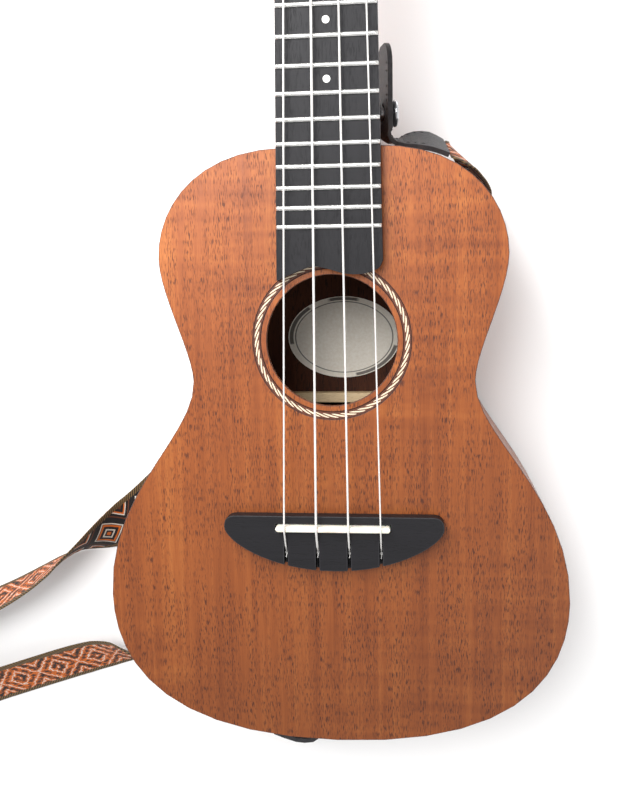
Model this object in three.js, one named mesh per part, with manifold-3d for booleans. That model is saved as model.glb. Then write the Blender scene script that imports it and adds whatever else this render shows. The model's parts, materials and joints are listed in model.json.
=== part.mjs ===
// Concert ukulele with a woven shoulder strap, in millimetres.
// It lies on its back: +Z up, +Y towards the headstock, +X towards the treble side.
// Origin: outer face of the back plate, on the centreline, straight under the saddle.

import * as THREE from 'three';
import { mergeVertices } from 'three/addons/utils/BufferGeometryUtils.js';
import Module from 'manifold-3d';

const wasm = await Module();
wasm.setup();

// ---------------------------------------------------------------- driving dimensions

const SCALE_LENGTH = 381;
const NUT_Y = 380.4;
const FRET_COUNT = 18;
const GAP = 0.3;                    // between pieces that are cut or turned to fit each other
const GLUE = 0.05;                  // between flat faces that are glued together

const BODY_DEPTH = 70;
const TOP_THICK = 2;
const BACK_THICK = 2.2;
const RIB_THICK = 1.8;
const NECK_END_Y = 168.5;
const TAIL_Y = -105.2;
const UPPER_BOUT = { halfWidth: 77.6, y: 121.5 };
const WAIST = { halfWidth: 63.5, y: 66 };
const LOWER_BOUT = { halfWidth: 106.4, y: -35.5 };

const SOUNDHOLE = { radius: 29.3, y: 84.2 };
const ROSETTE = { inner: 32.2, outer: 35.4, depth: 0.7 };
const LABEL = { width: 58, height: 42, y: 81, thick: 0.3 };

const BOARD = { thick: 5.35, halfAtNut: 19.3, halfAtEnd: 23.35, endY: 115 };
const FRET = { height: 1, width: 2.1, tang: 0.5, tangDepth: 2.2 };
const NECK = { depthAtNut: 14.5, depthAtHeel: 17.5, heelDepth: 60, heelFootY: 188, heelTopY: 216 };

const NUT = { thick: 4.3, top: 78.2 };
const SADDLE = { halfLength: 25.9, thick: 2.8, top: 79.9 };
const BRIDGE = { halfLength: 50, straight: 44.4, frontY: 5.4, backY: -20.2, top: 76.6 };
const STRING_SLOT = { half: 0.75, frontY: -6.4, low: 72.4 };
const STRING_NUT_Z = 77.3;
const STRING_SADDLE_Z = 80.6;
const STRING_HALF_AT_NUT = 14.34;
const STRING_HALF_AT_SADDLE = 21.69;

const HEAD = { startY: 385, tilt: THREE.MathUtils.degToRad(13), top: -1.8, bottom: -14.3, veneer: 1.5 };
const TUNER = { x: 18, nearY: 38, farY: 82, holeRadius: 4.4, postRadius: 3, postTop: 12.5 };
const GEAR = { teeth: 14, pitch: 2.04, tip: 5, root: 3.95, thick: 2.6, hub: 2.9 };
const TUNER_PLATE = { half: 7.8, below: 6.5, above: 4.5, thick: 1.2, ear: 2, earHalf: 2.6 };
const BUSHING = { foot: -9, body: 4.1, flange: 5.3, top: 1.7 };
const WORM = { offset: 6.75, drop: -18.8, tip: 2.65, core: 1.7, shaft: 1.4, halfThread: 3.2 };
const KNOB = { start: 34.5, end: 48 };

const BUTTON = { baseRadius: 6, neckRadius: 3.4, headRadius: 6.2 };
const HEEL_BUTTON = { x: 19.6, y: 186, z: 42, lean: 9 * Math.PI / 180, tab: 3.75 };
const TAIL_BUTTON = { y: -105.6, z: 35 };
const WEBBING = { width: 25, thick: 1 };
const LEATHER = { width: 22, thick: 2.2, hole: 4.3 };

// ---------------------------------------------------------------- geometry helpers

// Positions only, shared vertices merged, no collapsed triangles, faces pointing out.
function closed(geometry) {
  const bare = new THREE.BufferGeometry();
  bare.setAttribute('position', geometry.getAttribute('position').clone());
  if (geometry.index) bare.setIndex(geometry.index.clone());
  const merged = mergeVertices(bare, 1e-4);
  const p = merged.getAttribute('position');
  const source = merged.index.array;
  const kept = [];
  let volume = 0;
  const [a, b, c] = [new THREE.Vector3(), new THREE.Vector3(), new THREE.Vector3()];
  for (let i = 0; i < source.length; i += 3) {
    const [i0, i1, i2] = [source[i], source[i + 1], source[i + 2]];
    if (i0 === i1 || i1 === i2 || i2 === i0) continue;
    kept.push(i0, i1, i2);
    a.fromBufferAttribute(p, i0);
    b.fromBufferAttribute(p, i1);
    c.fromBufferAttribute(p, i2);
    volume += a.dot(b.cross(c));
  }
  if (volume < 0) kept.reverse();
  merged.setIndex(kept);
  return merged;
}

function solid(geometry) {
  const g = closed(geometry);
  return new wasm.Manifold(new wasm.Mesh({
    numProp: 3,
    vertProperties: Float32Array.from(g.getAttribute('position').array),
    triVerts: Uint32Array.from(g.index.array),
  }));
}

function fromSolid(manifold) {
  const mesh = manifold.getMesh();
  const g = new THREE.BufferGeometry();
  g.setAttribute('position', new THREE.BufferAttribute(mesh.vertProperties, 3));
  g.setIndex(new THREE.BufferAttribute(mesh.triVerts, 1));
  return g;
}

function cut(geometry, ...tools) {
  return fromSolid(tools.reduce((body, tool) => body.subtract(solid(tool)), solid(geometry)));
}

function join(...geometries) {
  return fromSolid(geometries.map(solid).reduce((body, other) => body.add(other)));
}

// A box from its lowest to its highest corner.
function box(low, high) {
  const size = high.map((v, i) => v - low[i]);
  const g = new THREE.BoxGeometry(...size);
  return g.translate(...low.map((v, i) => v + size[i] / 2));
}

// A flat plate: an outline in X and Y, pushed up from z by thick.
function plate(shape, z, thick, curveSegments = 12) {
  const g = new THREE.ExtrudeGeometry(shape, { depth: thick, bevelEnabled: false, curveSegments });
  return closed(g.translate(0, 0, z));
}

// A turned piece: [radius, height] points around the Z axis.
function turned(profile, segments) {
  const points = profile.map(([r, z]) => new THREE.Vector2(r, z));
  return closed(new THREE.LatheGeometry(points, segments).rotateX(Math.PI / 2));
}

function rod(radius, z0, z1, segments = 12) {
  return turned([[0, z0], [radius, z0], [radius, z1], [0, z1]], segments);
}

function tube(inner, outer, z0, z1, segments) {
  return turned([[inner, z0], [outer, z0], [outer, z1], [inner, z1], [inner, z0]], segments);
}

// A closed skin through rings of equal point count, with flat ends. The diagonals of the second
// half of a ring mirror the first half's, so that a thin band's two faces stay the same way apart.
function loft(rings) {
  const n = rings[0].length;
  const positions = rings.flat().flatMap((v) => [v.x, v.y, v.z]);
  const index = [];
  for (let r = 0; r < rings.length - 1; r++) {
    for (let i = 0; i < n; i++) {
      const [a, b] = [r * n + i, r * n + (i + 1) % n];
      if (i < n / 2) index.push(a, b, b + n, a, b + n, a + n);
      else index.push(a, b, a + n, b, b + n, a + n);
    }
  }
  const last = (rings.length - 1) * n;
  for (let i = 1; i < n - 1; i++) {
    index.push(0, i + 1, i, last, last + i, last + i + 1);
  }
  const g = new THREE.BufferGeometry();
  g.setAttribute('position', new THREE.Float32BufferAttribute(positions, 3));
  g.setIndex(index);
  return closed(g);
}

const model = new THREE.Group();
const head = new THREE.Group();
head.position.set(0, HEAD.startY, BODY_DEPTH);
head.rotation.x = -HEAD.tilt;
model.add(head);

function addPiece(name, geometry, [color, roughness, metalness = 0], parent = model) {
  const mesh = new THREE.Mesh(geometry, new THREE.MeshStandardMaterial({ color, roughness, metalness }));
  mesh.name = name;
  parent.add(mesh);
  return mesh;
}

const MAHOGANY = [0xb5673c, 0.5];
const SPRUCE = [0xe2cfa6, 0.8];
const DARK_WOOD = [0x26262a, 0.6];
const BONE = [0xefe9d8, 0.35];
const NICKEL = [0xc9cacc, 0.25, 1];
const CHROME = [0xd8d9dc, 0.15, 1];
const NYLON = [0xf2f0ee, 0.25];
const BLACK_LEATHER = [0x1f2024, 0.65];
const WOVEN = [0x6b4a34, 0.95];
const PAPER = [0xc9c6bd, 0.9];

// ---------------------------------------------------------------- body box

// Half of the figure-of-eight outline, from the neck end to the tail, as curves that are
// upright at both bouts and at the waist.
function halfOutline() {
  const [u, w, l] = [UPPER_BOUT, WAIST, LOWER_BOUT];
  const path = new THREE.Path();
  path.moveTo(0, NECK_END_Y);
  path.lineTo(20, NECK_END_Y);
  path.bezierCurveTo(60, NECK_END_Y, u.halfWidth, u.y + 22, u.halfWidth, u.y);
  path.bezierCurveTo(u.halfWidth, u.y - 16.4, w.halfWidth, w.y + 13.5, w.halfWidth, w.y);
  path.bezierCurveTo(w.halfWidth, w.y - 25, l.halfWidth, l.y + 50, l.halfWidth, l.y);
  path.bezierCurveTo(l.halfWidth, l.y - 30, 89, TAIL_Y, 0, TAIL_Y);
  return path.getPoints(11);
}

const HALF = halfOutline();

// The half outline moved inwards by a distance, on the bass (-1) or treble (+1) side.
function insetHalf(side, distance) {
  return HALF.map((p, i) => {
    const before = HALF[Math.max(i - 1, 0)];
    const after = HALF[Math.min(i + 1, HALF.length - 1)];
    const along = after.clone().sub(before).normalize();
    const x = i === 0 || i === HALF.length - 1 ? p.x : p.x + along.y * distance;
    return new THREE.Vector2(side * x, p.y - along.x * distance);
  });
}

function bodyShape() {
  const treble = insetHalf(1, 0).slice(1);
  const bass = insetHalf(-1, 0).slice(1, -1).reverse();
  return new THREE.Shape([...treble, ...bass]);
}

// A strip that follows one side of the body between two insets, clear of the centreline.
function sideStrip(side, outer, inner, z0, z1, clearOfCentre) {
  const keep = (points) => points
    .map((p) => new THREE.Vector2(side * Math.max(Math.abs(p.x), clearOfCentre), p.y))
    .filter((p, i, all) => i === 0 || p.distanceTo(all[i - 1]) > 0.01)
    .filter((p) => Math.abs(p.x) > clearOfCentre || clearOfCentre < 1);
  const outline = [...keep(insetHalf(side, outer)), ...keep(insetHalf(side, inner)).reverse()];
  return plate(new THREE.Shape(outline), z0, z1 - z0);
}

const TOP_UNDER = BODY_DEPTH - TOP_THICK;

function soundboard() {
  const shape = bodyShape();
  shape.holes.push(new THREE.Path().absarc(0, SOUNDHOLE.y, SOUNDHOLE.radius, 0, 2 * Math.PI, false));
  const groove = tube(ROSETTE.inner - 0.15, ROSETTE.outer + 0.15, -ROSETTE.depth - 0.2, 1, 56);
  return cut(plate(shape, TOP_UNDER, TOP_THICK, 28), groove.translate(0, SOUNDHOLE.y, BODY_DEPTH));
}

addPiece('soundboard', soundboard(), MAHOGANY);
addPiece('back_plate', plate(bodyShape(), 0, BACK_THICK), MAHOGANY);
addPiece('rosette', tube(ROSETTE.inner, ROSETTE.outer, -ROSETTE.depth, 0, 56)
  .translate(0, SOUNDHOLE.y, BODY_DEPTH), BONE);

const LINING = { width: 4.5, height: 6, clearOfCentre: 29 };
const RIB_LOW = BACK_THICK + GLUE;
const RIB_HIGH = TOP_UNDER - GLUE;
const LINING_OUT = RIB_THICK + 0.1;

for (const [name, side] of [['bass', -1], ['treble', 1]]) {
  addPiece(`rib_${name}`, sideStrip(side, 0, RIB_THICK, RIB_LOW, RIB_HIGH, 0.15), MAHOGANY);
  const strip = (z0, z1) => sideStrip(
    side, LINING_OUT, LINING_OUT + LINING.width, z0, z1, LINING.clearOfCentre);
  addPiece(`lining_top_${name}`, strip(RIB_HIGH - LINING.height, RIB_HIGH), SPRUCE);
  addPiece(`lining_back_${name}`, strip(RIB_LOW, RIB_LOW + LINING.height), SPRUCE);
}

const NECK_BLOCK = { halfWidth: 24, depth: 18 };
const TAIL_BLOCK = { halfWidth: 22, depth: 13 };
const NECK_BLOCK_Y = NECK_END_Y - RIB_THICK - 2 * GAP;
const TAIL_BLOCK_Y = TAIL_Y + RIB_THICK + 1.6;
addPiece('neck_block', box(
  [-NECK_BLOCK.halfWidth, NECK_BLOCK_Y - NECK_BLOCK.depth, RIB_LOW],
  [NECK_BLOCK.halfWidth, NECK_BLOCK_Y, RIB_HIGH]), MAHOGANY);
addPiece('tail_block', box(
  [-TAIL_BLOCK.halfWidth, TAIL_BLOCK_Y, RIB_LOW],
  [TAIL_BLOCK.halfWidth, TAIL_BLOCK_Y + TAIL_BLOCK.depth, RIB_HIGH]), MAHOGANY);

// A brace across the body: flat on the glued side, rounded off on the other, low at both ends.
function brace(halfLength, y, width, height, glued, up) {
  const side = new THREE.Shape([
    new THREE.Vector2(-halfLength, 0), new THREE.Vector2(halfLength, 0),
    new THREE.Vector2(halfLength, height * 0.35), new THREE.Vector2(halfLength * 0.7, height),
    new THREE.Vector2(-halfLength * 0.7, height), new THREE.Vector2(-halfLength, height * 0.35),
  ]);
  const g = new THREE.ExtrudeGeometry(side, { depth: width, bevelEnabled: false });
  g.rotateX(up ? Math.PI / 2 : -Math.PI / 2);
  return closed(g.translate(0, up ? y + width : y, glued));
}

const BRACES = [
  ['top_brace_upper', 66, 124, 6, 8, RIB_HIGH, false],
  ['top_brace_lower', 58, 40, 6, 8, RIB_HIGH, false],
  ['back_brace_upper', 66, 118, 5.2, 7, RIB_LOW, true],
  ['back_brace_lower', 57, 47.6, 5.2, 7, RIB_LOW, true],
];
for (const [name, ...size] of BRACES) addPiece(name, brace(...size), SPRUCE);
addPiece('bridge_plate', box([-46, -24, RIB_HIGH - 1.6], [46, 10, RIB_HIGH]), SPRUCE);
addPiece('fan_brace', box([-2.5, -88, RIB_HIGH - 5], [2.5, -24.5, RIB_HIGH]), SPRUCE);

const labelShape = new THREE.Shape().absellipse(
  0, LABEL.y, LABEL.width / 2, LABEL.height / 2, 0, 2 * Math.PI);
addPiece('label', plate(labelShape, RIB_LOW, LABEL.thick, 24), PAPER);

// ---------------------------------------------------------------- neck, fingerboard and head

const boardHalf = (y) => THREE.MathUtils.mapLinear(
  y, BOARD.endY, NUT_Y, BOARD.halfAtEnd, BOARD.halfAtNut);
const fretY = (n) => NUT_Y - SCALE_LENGTH * (1 - 2 ** (-n / 12));

// One cross-section of the neck: rounded under the hand, flat-footed at the heel.
function neckRing(y, depth, heel) {
  const steps = 7;
  const width = boardHalf(y) - 0.1;
  const right = [];
  for (let i = 0; i <= steps; i++) {
    const u = i / steps;
    const round = (1 - u ** 2.4) ** (1 / 2.4);
    const foot = 1 - 0.42 * u ** 1.5;
    const x = width * THREE.MathUtils.lerp(round, foot, heel);
    right.push(new THREE.Vector3(x, y, BODY_DEPTH - GLUE - u * depth));
  }
  const left = right.map((v) => new THREE.Vector3(-v.x, v.y, v.z)).reverse();
  return [...right, ...left];
}

function headShape(startY) {
  const half = new THREE.Path().moveTo(19.3, startY);
  half.bezierCurveTo(20, 14, 30, 16, 30.5, 30);
  half.bezierCurveTo(31, 50, 27.5, 66, 29.5, 96);
  half.bezierCurveTo(30.5, 108, 30, 116, 23, 117.5);
  half.bezierCurveTo(13, 119, 9, 127, 0, 127);
  const right = half.getPoints(8);
  const left = right.slice(0, -1).map((p) => new THREE.Vector2(-p.x, p.y)).reverse();
  return new THREE.Shape([...right, ...left]);
}

const TUNERS = [
  ['g', -1, TUNER.nearY], ['c', -1, TUNER.farY], ['e', 1, TUNER.farY], ['a', 1, TUNER.nearY],
];
const tunerHoles = (z0, z1) => TUNERS.map(
  ([, side, y]) => rod(TUNER.holeRadius, z0, z1, 16).translate(side * TUNER.x, y, 0));

function neckSolid() {
  const rings = [];
  const foot = new THREE.Vector2(NECK.heelFootY, NECK.heelDepth);
  const bend = new THREE.Vector2(NECK.heelFootY + 2, NECK.depthAtHeel + 2);
  const top = new THREE.Vector2(NECK.heelTopY, NECK.depthAtHeel);
  const heelCurve = new THREE.QuadraticBezierCurve(foot, bend, top);
  rings.push(neckRing(NECK_END_Y + GAP, NECK.heelDepth, 1));
  for (const p of heelCurve.getPoints(10)) {
    const heel = (p.y - NECK.depthAtHeel) / (NECK.heelDepth - NECK.depthAtHeel);
    rings.push(neckRing(p.x, p.y, THREE.MathUtils.clamp(heel, 0.02, 1)));
  }
  for (const y of [260, 320, 372]) {
    const depth = THREE.MathUtils.mapLinear(y, NECK.heelTopY, 372, NECK.depthAtHeel, NECK.depthAtNut);
    rings.push(neckRing(y, depth, 0.02));
  }
  rings.push(neckRing(HEAD.startY, NECK.depthAtNut, 0.05));
  const slab = cut(
    plate(headShape(-3), HEAD.bottom, HEAD.top - HEAD.bottom), ...tunerHoles(-20, 5));
  slab.rotateX(-HEAD.tilt).translate(0, HEAD.startY, BODY_DEPTH);
  return join(loft(rings), slab);
}

addPiece('neck', neckSolid(), MAHOGANY);
addPiece('head_plate', cut(plate(headShape(0.8), -HEAD.veneer, HEAD.veneer), ...tunerHoles(-20, 5)),
  DARK_WOOD, head);

const HEEL_FOOT_Z = BODY_DEPTH - GLUE - NECK.heelDepth;
const capShape = new THREE.Shape([
  new THREE.Vector2(-13, NECK_END_Y + GAP), new THREE.Vector2(13, NECK_END_Y + GAP),
  new THREE.Vector2(13, 184), new THREE.Vector2(10, 187.5),
  new THREE.Vector2(-10, 187.5), new THREE.Vector2(-13, 184),
]);
addPiece('heel_cap', plate(capShape, HEEL_FOOT_Z - GLUE - 1.6, 1.6), DARK_WOOD);

const BOARD_LOW = BODY_DEPTH + GLUE;
const BOARD_TOP = BOARD_LOW + BOARD.thick;
const SPINE = { halfWidth: 1.2, low: 71.6, high: 72.4 };

// The board ends over the rosette in a soft S-shaped edge.
function boardShape() {
  const end = new THREE.SplineCurve([
    new THREE.Vector2(-23.4, 111), new THREE.Vector2(-15.6, 114.4), new THREE.Vector2(-8, 117),
    new THREE.Vector2(-1, 116), new THREE.Vector2(6.5, 113.8), new THREE.Vector2(14, 113.5),
    new THREE.Vector2(21, 115.7), new THREE.Vector2(23.3, 119.4),
  ]);
  return new THREE.Shape([
    ...end.getPoints(28),
    new THREE.Vector2(boardHalf(NUT_Y), NUT_Y - GLUE),
    new THREE.Vector2(-boardHalf(NUT_Y), NUT_Y - GLUE),
  ]);
}

// Fret slots are sawn from above; a channel under the board holds the spine of the fret set.
function fingerboard() {
  const channel = box([-SPINE.halfWidth - GAP, fretY(FRET_COUNT) - 2, 69],
    [SPINE.halfWidth + GAP, fretY(1) + 2, SPINE.high + 0.8]);
  const slots = [];
  for (let n = 1; n <= FRET_COUNT; n++) {
    const half = FRET.tang / 2 + 0.2;
    slots.push(box([-30, fretY(n) - half, BOARD_TOP - FRET.tangDepth - GAP],
      [30, fretY(n) + half, BOARD_TOP + 1]));
  }
  return cut(plate(boardShape(), BOARD_LOW, BOARD.thick), channel, ...slots);
}

function fretSet() {
  const crown = new THREE.Shape().absellipse(0, 0, FRET.width / 2, FRET.height, 0, Math.PI);
  const pieces = [];
  for (let n = 1; n <= FRET_COUNT; n++) {
    const y = fretY(n);
    const half = boardHalf(y);
    const g = new THREE.ExtrudeGeometry(crown, { depth: 2 * half, bevelEnabled: false, curveSegments: 4 });
    g.rotateX(Math.PI / 2).rotateZ(Math.PI / 2);
    pieces.push(g.translate(-half, y, BOARD_TOP + GLUE));
    pieces.push(box([-half + 1, y - FRET.tang / 2, BOARD_TOP - FRET.tangDepth],
      [half - 1, y + FRET.tang / 2, BOARD_TOP + 0.3]));
    pieces.push(box([-SPINE.halfWidth / 2, y - FRET.tang / 2, SPINE.low + 0.1],
      [SPINE.halfWidth / 2, y + FRET.tang / 2, BOARD_TOP - 1]));
  }
  pieces.push(box([-SPINE.halfWidth, fretY(FRET_COUNT) - 1, SPINE.low],
    [SPINE.halfWidth, fretY(1) + 1, SPINE.high]));
  return join(...pieces);
}

addPiece('fingerboard', fingerboard(), DARK_WOOD);
addPiece('frets', fretSet(), NICKEL);

// ---------------------------------------------------------------- strings, nut, bridge, saddle

const STRINGS = [
  { name: 'g', place: -1, diameter: 0.8 },
  { name: 'c', place: -1 / 3, diameter: 1.05 },
  { name: 'e', place: 1 / 3, diameter: 0.9 },
  { name: 'a', place: 1, diameter: 0.7 },
];

function nut() {
  const bar = box([-BOARD.halfAtNut, NUT_Y, BOARD_LOW], [BOARD.halfAtNut, NUT_Y + NUT.thick, NUT.top]);
  return cut(bar, ...STRINGS.map(({ place, diameter }) => {
    const x = place * STRING_HALF_AT_NUT;
    const half = diameter / 2 + 0.25;
    return box([x - half, NUT_Y - 1, STRING_NUT_Z - half], [x + half, NUT_Y + NUT.thick + 1, NUT.top + 1]);
  }));
}

function bridge() {
  const shape = new THREE.Shape();
  const { halfLength, straight, frontY, backY } = BRIDGE;
  shape.moveTo(-straight, frontY).lineTo(straight, frontY);
  shape.bezierCurveTo(halfLength - 1.5, frontY, halfLength, 3.6, halfLength, 0);
  shape.bezierCurveTo(halfLength, -6.5, 0.6 * halfLength, backY, 0, backY);
  shape.bezierCurveTo(-0.6 * halfLength, backY, -halfLength, -6.5, -halfLength, 0);
  shape.bezierCurveTo(-halfLength, 3.6, 1.5 - halfLength, frontY, -straight, frontY);
  const saddleSlot = box([-SADDLE.halfLength - GAP, -SADDLE.thick / 2 - GAP, BODY_DEPTH + 3],
    [SADDLE.halfLength + GAP, SADDLE.thick / 2 + GAP, 90]);
  const stringSlots = STRINGS.map(({ place }) => {
    const x = place * STRING_HALF_AT_SADDLE;
    return box([x - STRING_SLOT.half, -30, STRING_SLOT.low], [x + STRING_SLOT.half, STRING_SLOT.frontY, 90]);
  });
  return cut(plate(shape, BOARD_LOW, BRIDGE.top - BOARD_LOW, 16), saddleSlot, ...stringSlots);
}

function saddle() {
  const profile = new THREE.Shape();
  const [half, low, high] = [SADDLE.thick / 2, BODY_DEPTH + 3.3, SADDLE.top];
  profile.moveTo(-half, low).lineTo(half, low).lineTo(half, high - 1);
  profile.quadraticCurveTo(half, high, 0, high).quadraticCurveTo(-half, high, -half, high - 1);
  const g = new THREE.ExtrudeGeometry(profile, {
    depth: 2 * SADDLE.halfLength, bevelEnabled: false, curveSegments: 4 });
  g.rotateX(Math.PI / 2).rotateZ(Math.PI / 2);
  return closed(g.translate(-SADDLE.halfLength, 0, 0));
}

addPiece('nut', nut(), BONE);
addPiece('bridge', bridge(), DARK_WOOD);
addPiece('saddle', saddle(), BONE);

// A point of the head, from across, along and above its front face.
function onHead(x, y, z) {
  return new THREE.Vector3(x, y, z).applyAxisAngle(new THREE.Vector3(1, 0, 0), -HEAD.tilt)
    .add(head.position);
}

// Knot slot, over the saddle, along the board, through the nut, then past the inner side of its post.
function stringRoute({ name, place, diameter }) {
  const [, side, postY] = TUNERS.find(([tuner]) => tuner === name);
  const xs = place * STRING_HALF_AT_SADDLE;
  const xn = place * STRING_HALF_AT_NUT;
  const postX = side * (TUNER.x - TUNER.postRadius - diameter / 2 - GAP);
  return [
    new THREE.Vector3(xs, -15, 73.6),
    new THREE.Vector3(xs, -8.5, 76.35),
    new THREE.Vector3(xs, -0.6, STRING_SADDLE_Z),
    new THREE.Vector3(xs, 0.6, STRING_SADDLE_Z),
    new THREE.Vector3(xn, NUT_Y + 0.5, STRING_NUT_Z),
    new THREE.Vector3(xn, NUT_Y + NUT.thick - 0.3, STRING_NUT_Z - 0.02),
    onHead(postX, postY - 4, 5.6),
    onHead(postX, postY + 1, 5.5),
  ];
}

function stringTube(points, radius) {
  const rings = points.map((p, i) => {
    const along = points[Math.min(i + 1, points.length - 1)].clone()
      .sub(points[Math.max(i - 1, 0)]).normalize();
    const across = new THREE.Vector3(0, 0, 1).cross(along).normalize();
    const up = along.clone().cross(across);
    return Array.from({ length: 8 }, (_, k) => {
      const turn = (k / 8) * 2 * Math.PI;
      return p.clone().addScaledVector(across, radius * Math.cos(turn))
        .addScaledVector(up, radius * Math.sin(turn));
    });
  });
  return loft(rings);
}

for (const string of STRINGS) {
  addPiece(`string_${string.name}`, stringTube(stringRoute(string), string.diameter / 2), NYLON);
}

// ---------------------------------------------------------------- tuning machines

const PLATE_LOW = HEAD.bottom - GAP - TUNER_PLATE.thick;
const EAR_OUT = 6.6;

function tunerPlate(x, y) {
  const { half, below, above, thick, ear, earHalf } = TUNER_PLATE;
  const wormY = y + WORM.offset;
  const low = PLATE_LOW;
  const base = box([x - half, y - below, low], [x + half, wormY + above, low + thick]);
  const earAt = (x0) => box([x0, wormY - earHalf, WORM.drop - 2.4],
    [x0 + ear, wormY + earHalf, low + thick / 2]);
  const shaftHole = rod(WORM.shaft + GAP, -12, 12, 10).rotateY(Math.PI / 2).translate(x, wormY, WORM.drop);
  const postHole = rod(TUNER.postRadius + GAP, low - 1, low + 3).translate(x, y, 0);
  return cut(join(base, earAt(x - EAR_OUT), earAt(x + EAR_OUT - ear)), shaftHole, postHole);
}

// A right-hand thread around the X axis; one ridge faces the post at x = 0.
function wormThread() {
  const stepsPerTurn = 10;
  const turns = 2 * WORM.halfThread / GEAR.pitch;
  const count = Math.round(turns * stepsPerTurn);
  const corners = [[1.5, -0.5], [WORM.tip, -0.22], [WORM.tip, 0.22], [1.5, 0.5]];
  const rings = [];
  for (let i = 0; i <= count; i++) {
    const along = -WORM.halfThread + (2 * WORM.halfThread * i) / count;
    const turn = (along / GEAR.pitch) * 2 * Math.PI + Math.PI;
    rings.push(corners.map(([r, shift]) => new THREE.Vector3(
      along + shift, r * Math.cos(turn), r * Math.sin(turn))));
  }
  return loft(rings);
}

function worm(side) {
  const inner = -EAR_OUT - 0.8;
  const outer = KNOB.start + 5 - TUNER.x;
  const half = WORM.halfThread + 0.6;
  const shaft = turned([
    [0, inner], [WORM.shaft, inner], [WORM.shaft, -half], [WORM.core, -half],
    [WORM.core, half], [WORM.shaft, half], [WORM.shaft, outer], [0, outer],
  ], 10).rotateY(side * Math.PI / 2);
  return join(shaft, wormThread());
}

function knob(side) {
  const length = KNOB.end - KNOB.start;
  const body = turned([
    [0, 0], [2.6, 0], [3, 1.6], [5.6, 3.4], [7, 6.2], [6.8, 9.6], [4.8, 12.4], [2, length], [0, length],
  ], 14);
  body.scale(0.62, 1, 1);
  return cut(body, rod(WORM.shaft + GAP, -1, 6, 10)).rotateY(side * Math.PI / 2);
}

function wormGear() {
  const outline = [];
  const pitchAngle = (2 * Math.PI) / GEAR.teeth;
  const halfTip = 0.24 / GEAR.tip;
  const halfRoot = 0.46 / GEAR.root;
  for (let i = 0; i < GEAR.teeth; i++) {
    const middle = (i + 0.5) * pitchAngle + Math.PI / 2;
    const corners = [[GEAR.root, -halfRoot], [GEAR.tip, -halfTip], [GEAR.tip, halfTip], [GEAR.root, halfRoot]];
    for (const [r, turn] of corners) {
      outline.push(new THREE.Vector2(r * Math.cos(middle + turn), r * Math.sin(middle + turn)));
    }
  }
  const low = WORM.drop - GEAR.thick / 2;
  return join(plate(new THREE.Shape(outline), low, GEAR.thick), rod(GEAR.hub, low - 0.8, PLATE_LOW - GAP));
}

function post() {
  const r = TUNER.postRadius;
  const body = turned([
    [0, PLATE_LOW], [r, PLATE_LOW], [r, 3.4], [r - 0.5, 4.2],
    [r - 0.5, 7.4], [r, 8.4], [r, 11.4], [r - 0.8, TUNER.postTop], [0, TUNER.postTop],
  ], 12);
  return cut(body, rod(0.8, -5, 5, 6).rotateY(Math.PI / 2).translate(0, 0, 6.2));
}

function bushing() {
  const { foot, body, flange, top } = BUSHING;
  const bore = TUNER.postRadius + GAP;
  return turned([
    [bore, foot], [body, foot], [body, 0.25], [flange, 0.25], [flange - 0.2, 1.2],
    [body + 0.1, top], [bore, top], [bore, foot],
  ], 16);
}

for (const [name, side, y] of TUNERS) {
  const x = side * TUNER.x;
  const wormY = y + WORM.offset;
  addPiece(`tuner_${name}_plate`, tunerPlate(x, y), CHROME, head);
  addPiece(`tuner_${name}_worm`, worm(side), CHROME, head).position.set(x, wormY, WORM.drop);
  addPiece(`tuner_${name}_button`, knob(side), BONE, head)
    .position.set(side * KNOB.start, wormY, WORM.drop);
  addPiece(`tuner_${name}_gear`, wormGear(), CHROME, head).position.set(x, y, 0);
  addPiece(`tuner_${name}_post`, post(), CHROME, head).position.set(x, y, 0);
  addPiece(`tuner_${name}_bushing`, bushing(), CHROME, head).position.set(x, y, 0);
}

// ---------------------------------------------------------------- strap and its buttons

function strapButton() {
  const { baseRadius, neckRadius, headRadius } = BUTTON;
  return turned([
    [0, 0], [baseRadius, 0], [baseRadius, 0.9], [neckRadius, 1.4], [neckRadius, 6.1],
    [headRadius - 0.6, 7.3], [headRadius, 8.4], [headRadius - 1.4, 9.6], [0, 10.2],
  ], 16);
}

addPiece('strap_button_heel', strapButton().rotateY(Math.PI / 2 + HEEL_BUTTON.lean), CHROME)
  .position.set(HEEL_BUTTON.x, HEEL_BUTTON.y, HEEL_BUTTON.z);
addPiece('strap_button_tail', strapButton().rotateX(Math.PI / 2), CHROME)
  .position.set(0, TAIL_BUTTON.y, TAIL_BUTTON.z);

// A flat band through stations of [centre, direction across it], with two steps between stations.
function band(stations, thick, widthAt) {
  const centre = new THREE.CatmullRomCurve3(stations.map(([p]) => new THREE.Vector3(...p)));
  const across = new THREE.CatmullRomCurve3(stations.map(([, a]) => new THREE.Vector3(...a)));
  const count = 2 * (stations.length - 1);
  const rings = [];
  let travelled = 0;
  let last = centre.getPoint(0);
  for (let i = 0; i <= count; i++) {
    const c = centre.getPoint(i / count);
    travelled += c.distanceTo(last);
    last = c;
    const along = centre.getTangent(i / count);
    const a = across.getPoint(i / count);
    a.addScaledVector(along, -a.dot(along)).normalize();
    const n = a.clone().cross(along);
    const half = widthAt(travelled) / 2;
    rings.push([[1, 1], [-1, 1], [-1, -1], [1, -1]].map(([s, t]) => c.clone()
      .addScaledVector(a, s * half).addScaledVector(n, t * thick / 2)));
  }
  return loft(rings);
}

// Full width, rounded off over the first half width.
function tongue(distance) {
  const r = LEATHER.width / 2;
  const reach = Math.min(distance + 0.8, r);
  return 2 * Math.sqrt(r * r - (r - reach) ** 2);
}

const TABLE = -1.2;
const FLAT = TABLE + WEBBING.thick / 2;

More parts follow.
